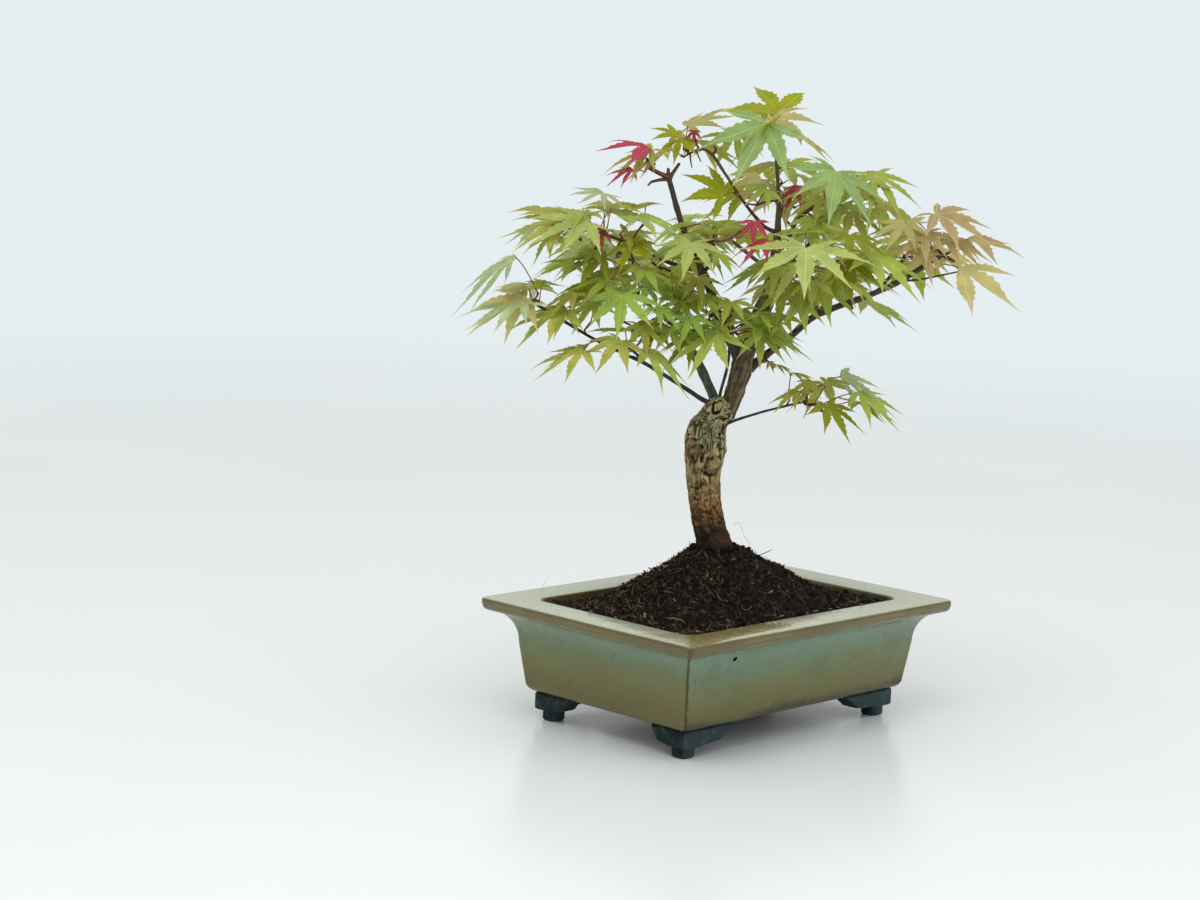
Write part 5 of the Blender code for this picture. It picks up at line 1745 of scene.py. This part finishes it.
# %% The leaves that give the tree its face
# across, back, up, heading, tilt, roll, size, droop, tint, shape
LEAVES = {
    "apex_foliage": (
        (19, 6, 310, 115, -35, -15, 35, 0.20, "yellow", "three"),
        (15, 2, 306, 350, -15, 35, 28, 0.30, "tan", "broad"),
        (13, -6, 305, 235, 45, -25, 41, 0.05, "blue", "five"),
        (25, 12, 285, 185, 5, 0, 30, 0.20, "tan", "five"),
    ),
    "top_left_foliage": (
        (-31, -17, 296, 250, 55, 0, 15, 0.10, "yellow", "three"),
        (-33, -15, 297, 165, -25, -30, 15, 0.20, "yellow", "five"),
        (-29, -15, 296, 330, 40, 20, 10, 0.10, "yellow", "five"),
        (-24, -15, 300, 270, 60, 0, 7, 0.10, "crimson", "five"),
        (-27, -12, 302, 10, -20, -20, 30, 0.10, "tan", "narrow"),
    ),
    "pink_foliage": (
        (-46, -22, 291, 195, -5, -15, 29, 0.20, "crimson", "three"),
        (-45, -20, 290, 200, 30, -10, 28, 0.20, "olive", "narrow"),
        (-54, -26, 280, 205, 25, -25, 16, 0.20, "crimson", "young"),
    ),
    "upper_left_foliage": (
        (-68, -36, 268, 235, 10, -15, 22, 0.10, "sage", "narrow"),
        (-75, -48, 254, 205, 12, -25, 34, 0.10, "pale", "broad"),
        (-84, -40, 253, 180, 5, -20, 38, 0.15, "olive", "narrow"),
        (-52, -40, 257, 335, 12, 5, 28, 0.15, "pale", "broad"),
        (-94, -34, 257, 110, -12, 0, 28, 0.20, "olive", "five"),
        (-64, -34, 261, 85, -12, 0, 28, 0.20, "olive", "five"),
        (-47, -30, 262, 115, -5, -15, 18, 0.20, "olive", "five"),
        (-92, -46, 248, 215, 45, -10, 18, 0.20, "green", "broad"),
        (-68, -36, 251, 275, 62, 0, 13, 0.10, "crimson", "young"),
    ),
    "far_left_foliage": (
        (-110, -52, 236, 195, 38, 28, 41, 0.15, "sage", "slim"),
        (-105, -50, 214, 205, 18, -8, 36, 0.10, "sage", "narrow"),
        (-103, -44, 220, 100, -10, 0, 26, 0.20, "tan", "five"),
        (-86, -46, 210, 215, 25, -5, 32, 0.15, "olive", "broad"),
        (-97, -48, 222, 120, -30, 0, 11, 0.20, "yellow", "five"),
    ),
    "mid_left_foliage": (
        (-51, -34, 245, 245, 30, 0, 22, 0.20, "yellow", "five"),
        (-67, -36, 236, 200, 15, -20, 26, 0.20, "dark", "broad"),
        (-62, -30, 229, 225, 20, 0, 24, 0.20, "dark", "open"),
        (-57, -48, 219, 270, 42, 0, 28, 0.06, "bright", "broad"),
        (-81, -40, 233, 205, 10, -20, 19, 0.15, "green", "five"),
        (-34, -30, 227, 330, 15, 0, 17, 0.15, "olive", "five"),
        (-84, -48, 210, 215, 18, -15, 25, 0.15, "green", "narrow"),
        (-30, -32, 217, 335, 25, 0, 22, 0.15, "green", "broad"),
        (-33, -40, 203, 290, 35, 0, 20, 0.15, "green", "broad"),
        (-63, -42, 226, 185, 10, -30, 21, 0.15, "green", "open"),
        (-40, -46, 213, 320, 25, 0, 20, 0.15, "bright", "open"),
        (-80, -46, 219, 220, 30, 0, 18, 0.15, "olive", "five"),
        (-70, -42, 214, 235, 35, 0, 21, 0.15, "green", "broad"),
        (-48, -40, 232, 300, 25, 0, 21, 0.15, "green", "broad"),
        (-47, -46, 204, 285, 40, 0, 19, 0.12, "olive", "broad"),
        (-72, -38, 240, 245, 30, 0, 15, 0.15, "green", "five"),
        (-20, -34, 228, 285, 35, 0, 19, 0.15, "olive", "broad"),
    ),
    "low_left_foliage": (
        (-57, -54, 197, 240, 25, -10, 25, 0.15, "olive", "broad"),
        (-75, -58, 192, 212, 22, -5, 30, 0.15, "olive", "narrow"),
        (-42, -36, 205, 265, 40, 0, 20, 0.15, "dark", "broad"),
    ),
    "centre_foliage": (
        (-8, -8, 268, 185, -40, -45, 29, 0.30, "yellow", "five"),
        (-24, -50, 246, 258, 34, -5, 27, 0.08, "pale", "broad"),
        (-24, -44, 237, 240, 40, 0, 15, 0.15, "olive", "five"),
        (-12, -40, 241, 310, 30, 0, 18, 0.15, "green", "five"),
    ),
    "low_centre_foliage": (
        (-25, -30, 215, 195, 8, -25, 20, 0.15, "green", "broad"),
        (-10, -46, 201, 240, 38, 0, 29, 0.10, "green", "broad"),
        (-3, -40, 217, 250, 25, 0, 20, 0.15, "green", "open"),
        (12, -34, 201, 270, 35, 0, 22, 0.15, "green", "broad"),
        (-17, -36, 219, 300, 25, 0, 20, 0.15, "green", "broad"),
        (12, -40, 211, 325, 20, 0, 20, 0.15, "green", "five"),
        (-22, -44, 209, 250, 38, 0, 19, 0.15, "bright", "broad"),
    ),
    "front_right_foliage": (
        (31, -62, 246, 262, 26, -4, 42, 0.06, "pale", "open"),
        (14, -44, 248, 220, 25, 0, 21, 0.20, "crimson", "five"),
        (7, -38, 257, 262, 50, 0, 14, 0.20, "crimson", "five"),
        (54, -44, 252, 300, 25, 0, 24, 0.20, "dark", "broad"),
        (64, -38, 243, 320, 28, 5, 36, 0.15, "green", "broad"),
        (31, -40, 227, 262, 40, 0, 20, 0.15, "olive", "open"),
        (40, -34, 227, 285, 36, 0, 27, 0.12, "green", "broad"),
        (24, -30, 223, 255, 38, 0, 23, 0.15, "green", "broad"),
        (31, -46, 218, 280, 40, 0, 18, 0.15, "green", "five"),
        (55, -40, 239, 270, 55, 0, 20, 0.10, "dark", "three"),
        (24, -40, 211, 240, 30, 0, 16, 0.15, "green", "broad"),
        (46, -42, 236, 300, 45, 0, 17, 0.10, "olive", "three"),
        (20, -38, 235, 250, 45, 0, 18, 0.12, "green", "five"),
        (14, -34, 226, 230, 40, 0, 17, 0.12, "tan", "three"),
        (50, -32, 231, 300, 40, 0, 20, 0.12, "green", "broad"),
        (36, -50, 230, 265, 45, 0, 17, 0.12, "olive", "three"),
    ),
    "upper_right_foliage": (
        (48, -16, 282, 260, 34, -20, 38, 0.10, "blue", "broad"),
        (68, -4, 281, 305, 40, 10, 31, 0.15, "green", "narrow"),
        (42, -8, 268, 250, 30, -5, 20, 0.15, "olive", "broad"),
        (57, -6, 262, 300, 35, 0, 26, 0.15, "olive", "broad"),
        (31, 6, 274, 235, 45, 0, 18, 0.20, "crimson", "young"),
        (14, -12, 272, 230, 20, -20, 18, 0.15, "green", "broad"),
        (38, -14, 258, 270, 40, 0, 22, 0.12, "green", "broad"),
        (66, -12, 264, 310, 35, 0, 21, 0.12, "green", "five"),
    ),
    "right_end_foliage": (
        (83, -22, 258, 240, 30, -10, 22, 0.15, "tan", "broad"),
        (99, -18, 263, 330, 20, 15, 34, 0.12, "peach", "broad"),
        (93, -26, 254, 262, 38, 0, 22, 0.15, "peach", "broad"),
        (105, -10, 250, 325, 22, 5, 26, 0.20, "tan", "open"),
        (111, -24, 237, 335, 26, 22, 37, 0.12, "tan", "three"),
        (92, -26, 244, 285, 40, 0, 20, 0.12, "peach", "five"),
    ),
    "low_right_foliage": (
        (22, -13, 184, 330, 15, 0, 13, 0.20, "olive", "young"),
        (19, -11, 185, 300, 40, 0, 7, 0.20, "tan", "five"),
        (30, -22, 181, 330, 10, 0, 16, 0.15, "olive", "young"),
        (33, -34, 173, 215, 28, 0, 19, 0.12, "olive", "five"),
        (47, -36, 167, 306, 38, 0, 24, 0.10, "dark", "broad"),
        (47, -26, 177, 20, -5, 20, 15, 0.15, "olive", "five"),
        (63, -28, 173, 322, 28, 8, 31, 0.10, "green", "young"),
        (55, -20, 180, 325, 22, -45, 37, 0.15, "sage", "slim"),
        (39, -30, 178, 245, 35, 0, 15, 0.15, "olive", "five"),
    ),
}
print("leaves posed by hand:", sum(len(rows) for rows in LEAVES.values()))

# %% [markdown]
# Pads at the back of the tree have no leaves of their own yet, so all of theirs grow by rule. A row
# gives the pad's middle, its half-length, half-width and turn, the number of leaves and the tints
# they draw from. Tints go by pad, because a real canopy colours by spray, and the dark tint also
# stands for painted shade on leaves deep inside a pad.

# %% Leaves that grow by rule
# across, back, up, half-length, half-width, turn, leaves, push to the back, tints
SPRAYS = {
    "apex_foliage": (15, 0, 304, 18, 14, 172, 3, 6, "yellow tan green"),
    "top_left_foliage": (-24, -13, 298, 9, 7, 200, 2, 8, "olive tan"),
    "pink_foliage": (-56, -24, 283, 8, 6, 200, 0, 4, "crimson"),
    "upper_left_foliage": (-73, -32, 254, 27, 18, 190, 7, 8, "pale sage olive"),
    "far_left_foliage": (-102, -42, 221, 15, 12, 200, 2, 8, "sage tan"),
    "mid_left_foliage": (-50, -24, 226, 23, 15, 170, 10, 8, "green olive bright green dark"),
    "low_left_foliage": (-60, -50, 196, 20, 11, 195, 3, 8, "olive dark green"),
    "centre_foliage": (-14, -36, 252, 16, 12, 160, 7, 10, "pale olive green"),
    "low_centre_foliage": (-4, -32, 209, 25, 14, 5, 12, 8, "green bright dark"),
    "front_right_foliage": (38, -38, 241, 25, 15, 350, 10, 8, "green olive pale green"),
    "upper_right_foliage": (56, 2, 274, 23, 17, 340, 9, 8, "green pale olive"),
    "right_mid_foliage": (57, 20, 228, 18, 15, 60, 7, 4, "pale green"),
    "right_end_foliage": (98, -12, 252, 20, 15, 352, 5, 6, "tan peach olive"),
    "low_right_foliage": (52, -22, 172, 14, 11, 350, 2, 8, "olive dark"),
    "right_back_foliage": (97, 48, 246, 18, 15, 30, 7, 0, "green tan yellow"),
    "back_right_foliage": (48, 82, 250, 26, 20, 70, 9, 0, "green pale olive"),
    "left_back_foliage": (-68, 24, 242, 19, 15, 150, 7, 0, "olive green sage"),
    "back_left_foliage": (-40, 68, 230, 24, 19, 120, 8, 0, "green dark olive"),
    "far_back_foliage": (-7, 98, 252, 23, 18, 95, 8, 0, "pale yellow green"),
    "high_back_foliage": (21, 48, 278, 23, 17, 75, 8, 0, "green yellow tan"),
}
GOLDEN_ANGLE = 137.5


def grown_leaves(name, spray):
    """Leaves on a spiral over a pad, each pointing outwards and down, in seeded variety."""
    across, back, up, half_length, half_width, turn, count, push, tints = spray
    chance = random.Random("leaves of " + name)
    tints = tints.split()
    spin = chance.uniform(0, 360)
    rows = []
    for number in range(count):
        share = math.sqrt((number + 0.6) / max(count, 1))
        around = math.radians(spin + GOLDEN_ANGLE * number)
        along = half_length * share * math.cos(around)
        aside = half_width * share * math.sin(around)
        turned = math.radians(turn)
        place = (across + along * math.cos(turned) - aside * math.sin(turned) + chance.gauss(0, 2),
                 back + push + along * math.sin(turned) + aside * math.cos(turned)
                 + chance.gauss(0, 2),
                 up + 9 * (1 - share) - 8 * share + chance.gauss(0, 2.5))
        heading = math.degrees(math.atan2(place[1] - back, place[0] - across)) + chance.gauss(0, 22)
        rows.append((*place, heading, 3 + 24 * share + chance.gauss(0, 8), chance.gauss(0, 14),
                     chance.uniform(24, 33), chance.uniform(0.08, 0.24), tints[number % len(tints)],
                     chance.choice(("broad", "broad", "open", "narrow", "five"))))
    return rows


canopy = []            # (pad, row) for every leaf of the tree
for pad, spray in SPRAYS.items():
    canopy += [(pad, row) for row in LEAVES.get(pad, ())]
    canopy += [(pad, row) for row in grown_leaves(pad, spray)]
print("leaves in all:", len(canopy))

# %% [markdown]
# Twigs follow the leaves rather than the other way round. Each leaf wants a place for the foot of
# its stalk: a little behind it and below. The tree then grows towards these places, one at a time:
# whichever place is reached best from the wood that is already there gets a twig, which becomes
# wood that later twigs may start from. The result branches like a real shoot and hardly crosses the
# gaps between the pads. At the end the wood is thickened by the number of leaves that it carries.

# %% Where each stalk starts
limb_wood = np.concatenate([smooth_line(rows, 8)[:, :3] for _, rows in LIMBS.values()])
chance = random.Random(77)
stalk_feet = []
for _, row in canopy:
    place = np.array(row[:3], float)
    level = leaf_axes(*row[3:6])[0] * (1, 1, 0)
    level /= max(np.linalg.norm(level), 0.3)
    homewards = limb_wood - place
    reach = np.linalg.norm(homewards, axis=1)
    homewards = homewards[np.argmin(reach)] / max(reach.min(), 1.0)
    way = homewards * 0.85 - level * 0.40 - UP * chance.uniform(0.05, 0.35)
    length = min(chance.uniform(0.50, 0.85) * row[6], 0.85 * reach.min())
    stalk_feet.append(place + way / np.linalg.norm(way) * length)
print("stalk feet:", len(stalk_feet))

# %% [markdown]
# The cost of a twig is its length, more when it would have to leave its wood at a wide angle and
# more when it would have to grow downwards. The longest limbs may bear twigs from a third of their
# length on, and the others from half way.

# %% Grow twigs towards the leaves
wood_places, wood_parents, wood_ways = [], [], []
for name, (_, rows) in LIMBS.items():
    line = smooth_line(rows, 8)[:, :3]
    bare = 3 if name in ("main_leader", "second_leader", "right_bough") else 2
    first = len(line) // bare
    ways = np.gradient(line, axis=0)
    for place, way in zip(line[first:], ways[first:]):
        wood_places.append(place)
        wood_parents.append(-1)
        wood_ways.append(way / np.linalg.norm(way))
TWIG_STEP = 3.5
twigs = []             # lists of wood numbers, from where a twig starts to where it ends
waiting = list(range(len(stalk_feet)))
foot_wood = {}
while waiting:
    wood = np.array(wood_places)
    feet = np.array([stalk_feet[number] for number in waiting])
    gaps = feet[:, None, :] - wood[None, :, :]
    far = np.linalg.norm(gaps, axis=2)
    ahead = np.einsum("fwk,wk->fw", gaps, np.array(wood_ways)) / np.maximum(far, 0.1)
    cost = far * (1.0 + 0.45 * (1 - ahead)) + 0.4 * np.maximum(0, -gaps[:, :, 2])
    pick, start = np.unravel_index(np.argmin(cost), cost.shape)
    leaf = waiting.pop(pick)
    foot = stalk_feet[leaf]
    reach = float(far[pick, start])
    elbow = wood_places[start] + wood_ways[start] * reach * 0.40 + np.array((0, 0, reach * 0.06))
    steps = max(2, round(reach / TWIG_STEP))
    chain = [start]
    before = wood_places[start]
    for step in range(1, steps + 1):
        t = step / steps
        place = (1 - t) ** 2 * wood_places[start] + 2 * t * (1 - t) * elbow + t * t * foot
        if step < steps:
            place = place + np.array([chance.gauss(0, 0.25) for _ in range(3)])
        way = place - before
        wood_places.append(place)
        wood_parents.append(chain[-1])
        wood_ways.append(way / max(np.linalg.norm(way), 1e-6))
        chain.append(len(wood_places) - 1)
        before = place
    twigs.append(chain)
    foot_wood[leaf] = chain[-1]
carried = np.zeros(len(wood_places))
for number in foot_wood.values():
    while number != -1:
        carried[number] += 1
        number = wood_parents[number]
lengths = [len(chain) * TWIG_STEP for chain in twigs]
print("twigs:", len(twigs), "longest:", max(lengths), "mm, most leaves on one:", int(carried.max()))

# %% [markdown]
# Twigs and stalks are threads: curves with a round bevel. Twigs that carry several leaves are
# woody, the last ones are young and red, and so are the leaf stalks, which arch up from the wood
# and meet the leaf in the direction of its middle lobe.

# %% Draw the twigs and the stalks
TWIG_END = 1.55        # how much a twig swells where its last leaf starts
STALK_STEPS = 8


def twig_size(load):
    """The diameter of a twig in millimetres, from the number of leaves that it carries."""
    return min(2.0, 0.72 + 0.26 * math.sqrt(load))


woody, young, stalks = [], [], []
for chain in twigs:
    path = []
    for position, number in enumerate(chain):
        load = carried[chain[1]] if position == 0 else carried[number]
        size = twig_size(load)
        if position == len(chain) - 1:
            size *= TWIG_END
        path.append((tuple(tree_places(wood_places[number])), size * MM))
    (woody if carried[chain[1]] > 2 else young).append(path)
for leaf, (_, row) in enumerate(canopy):
    heart = np.array(row[:3], float)
    foot = stalk_feet[leaf]
    forward, _, _ = leaf_axes(*row[3:6])
    reach = np.linalg.norm(heart - foot)
    lift = foot + (heart - foot) * 0.35 + np.array((0, 0, reach * 0.06))
    arrive = heart - (heart - foot) * 0.26 - forward * reach * 0.07 + np.array((0, 0, reach * 0.03))
    path = []
    for step in range(STALK_STEPS + 1):
        t = step / STALK_STEPS
        place = ((1 - t) ** 3 * foot + 3 * (1 - t) ** 2 * t * lift
                 + 3 * (1 - t) * t * t * arrive + t ** 3 * heart)
        size = 0.56 + 0.35 * (1 - t) ** 6 + 0.20 * t ** 8
        path.append((tuple(tree_places(place)), size * MM))
    stalks.append(path)
woody_twigs = threads("woody_twigs", woody, 2)
young_twigs = threads("young_twigs", young, 2)
leaf_stalks = threads("leaf_stalks", stalks, 1)
print("woody twigs:", len(woody), "young twigs:", len(young), "stalks:", len(stalks))

# %% [markdown]
# A leaf is thin enough to glow when light falls on its back, so its finish mixes a plain surface
# with a translucent one. The UV map runs along each lobe and across it, which is all that is needed
# for a pale midrib, fine side veins and a flush of warmer colour towards the tips. The tints
# themselves are plain colours, one material for each, dealt out by spray; the dark tint is partly a
# darker leaf colour and partly painted shade.

# %% Leaf finishes
# name: body colour, tip colour, vein colour
TINTS = {
    "pale": ((202, 218, 118), (212, 200, 120), (228, 236, 158)),
    "blue": ((174, 208, 124), (180, 196, 118), (208, 232, 162)),
    "sage": ((206, 222, 166), (212, 208, 160), (228, 238, 196)),
    "green": ((192, 206, 88), (198, 186, 88), (214, 228, 128)),
    "bright": ((186, 218, 96), (188, 200, 94), (212, 236, 134)),
    "olive": ((200, 200, 88), (206, 170, 92), (222, 222, 130)),
    "yellow": ((176, 184, 16), (184, 160, 28), (208, 214, 66)),
    # dark: partly a darker leaf colour and partly painted shade, for leaves in the shade of others
    "dark": ((160, 166, 32), (166, 134, 40), (188, 196, 68)),
    "tan": ((224, 212, 136), (220, 172, 120), (236, 228, 166)),
    "peach": ((214, 190, 132), (208, 154, 118), (232, 214, 166)),
    "crimson": ((214, 68, 100), (198, 50, 80), (234, 124, 142)),
}
GLOW = 0.46            # the share of a leaf's look that is light from behind
SHADED_GREEN = (0.02, 0.05, 0.005)


def leaf_finish(name):
    body, tip, vein = (rgb(*tone) for tone in TINTS[name])
    finish = Finish("leaf_" + name)
    along, across, _ = finish.parts(finish.node("UVMap"))
    off_rib = finish.gap(across, 0.5)
    tone = finish.noise(finish.place(), 90.0, 3.0, 0.55)
    blotch = finish.noise(finish.place(), 420.0, 3.0, 0.6)
    shaded = finish.blend(0.22, body, SHADED_GREEN)
    colour = finish.blend(finish.fade(tone, 0.35, 0.68), shaded, body)
    colour = finish.paint(colour, tip, finish.fade(blotch, 0.5, 0.75), 0.22)
    flush = finish.plus(finish.fade(along, 0.62, 1.0), finish.fade(off_rib, 0.09, 0.17))
    colour = finish.paint(colour, tip, finish.math("MINIMUM", finish.times(flush, 0.55), 1.0))
    wave = finish.minus(finish.times(along, 15.0), finish.times(off_rib, 42.0))
    side_vein = finish.gap(finish.math("FRACT", wave), 0.5)
    colour = finish.paint(colour, vein, finish.fade(side_vein, 0.13, 0.03), 0.3)
    rib = finish.fade(off_rib, 0.014, 0.005)
    colour = finish.paint(colour, vein, rib, 0.7)
    bump = finish.relief(finish.minus(finish.fade(side_vein, 0.0, 0.2), rib), 0.00022)
    finish.surface(Base_Color=colour, Roughness=0.48, Normal=bump)
    through = finish.node("BsdfTranslucent", {"Color": colour, "Normal": bump})
    mixed = finish.node("MixShader", {0: GLOW, 1: finish.shader.outputs[0], 2: through})
    finish.feed(finish.tree.nodes["Material Output"].inputs[0], mixed)
    return finish.material


print("tints:", len(TINTS))

# %% [markdown]
# A leaf of each row is chosen from the models of its shape, posed, and added to the one mesh of its
# tint. Each piece stands for all the pads that it has leaves in.

# %% Gather the leaves by tint
def leaf_piece(tint, rows):
    """One mesh of all the leaves of a tint, with their UVs."""
    chance = random.Random("copies of " + tint)
    parts, uvs = [], []
    for row in rows:
        points, faces, leaf_uvs = chance.choice(leaf_models[row[9]])
        parts.append((posed_leaf(points, (row[:3], *row[3:8])), faces))
        uvs.extend(leaf_uvs)
    piece = one_mesh("leaves_" + tint, parts)
    layer = piece.data.uv_layers.new(name="leaf")
    layer.data.foreach_set("uv", np.array(uvs).ravel())
    piece.data.shade_smooth()
    dress(piece, leaf_finish(tint))
    return piece


leaf_faces = 0
for tint in TINTS:
    rows = [row for _, row in canopy if row[8] == tint]
    pads = sorted({pad for pad, row in canopy if row[8] == tint})
    piece = leaf_piece(tint, rows)
    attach(piece, "root")
    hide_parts(*pads)
    leaf_faces += len(piece.data.polygons)
    print(tint, "leaves:", len(rows))
print("leaf faces:", leaf_faces)

# %% Dress the twigs and the stalks
HALF_DEEP = 0.5        # threads have no relief, so their depth is the same all over
for piece, bark in ((woody_twigs, "shoot_bark"), (young_twigs, "young_bark"),
                    (leaf_stalks, "stalk_red")):
    dress(piece, bark_finishes[bark])
    depth = piece.data.attributes.new("depth", "FLOAT", "POINT")
    depth.data.foreach_set("value", [HALF_DEEP] * len(piece.data.vertices))
    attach(piece, "root")
    print(piece.name, "faces:", len(piece.data.polygons))
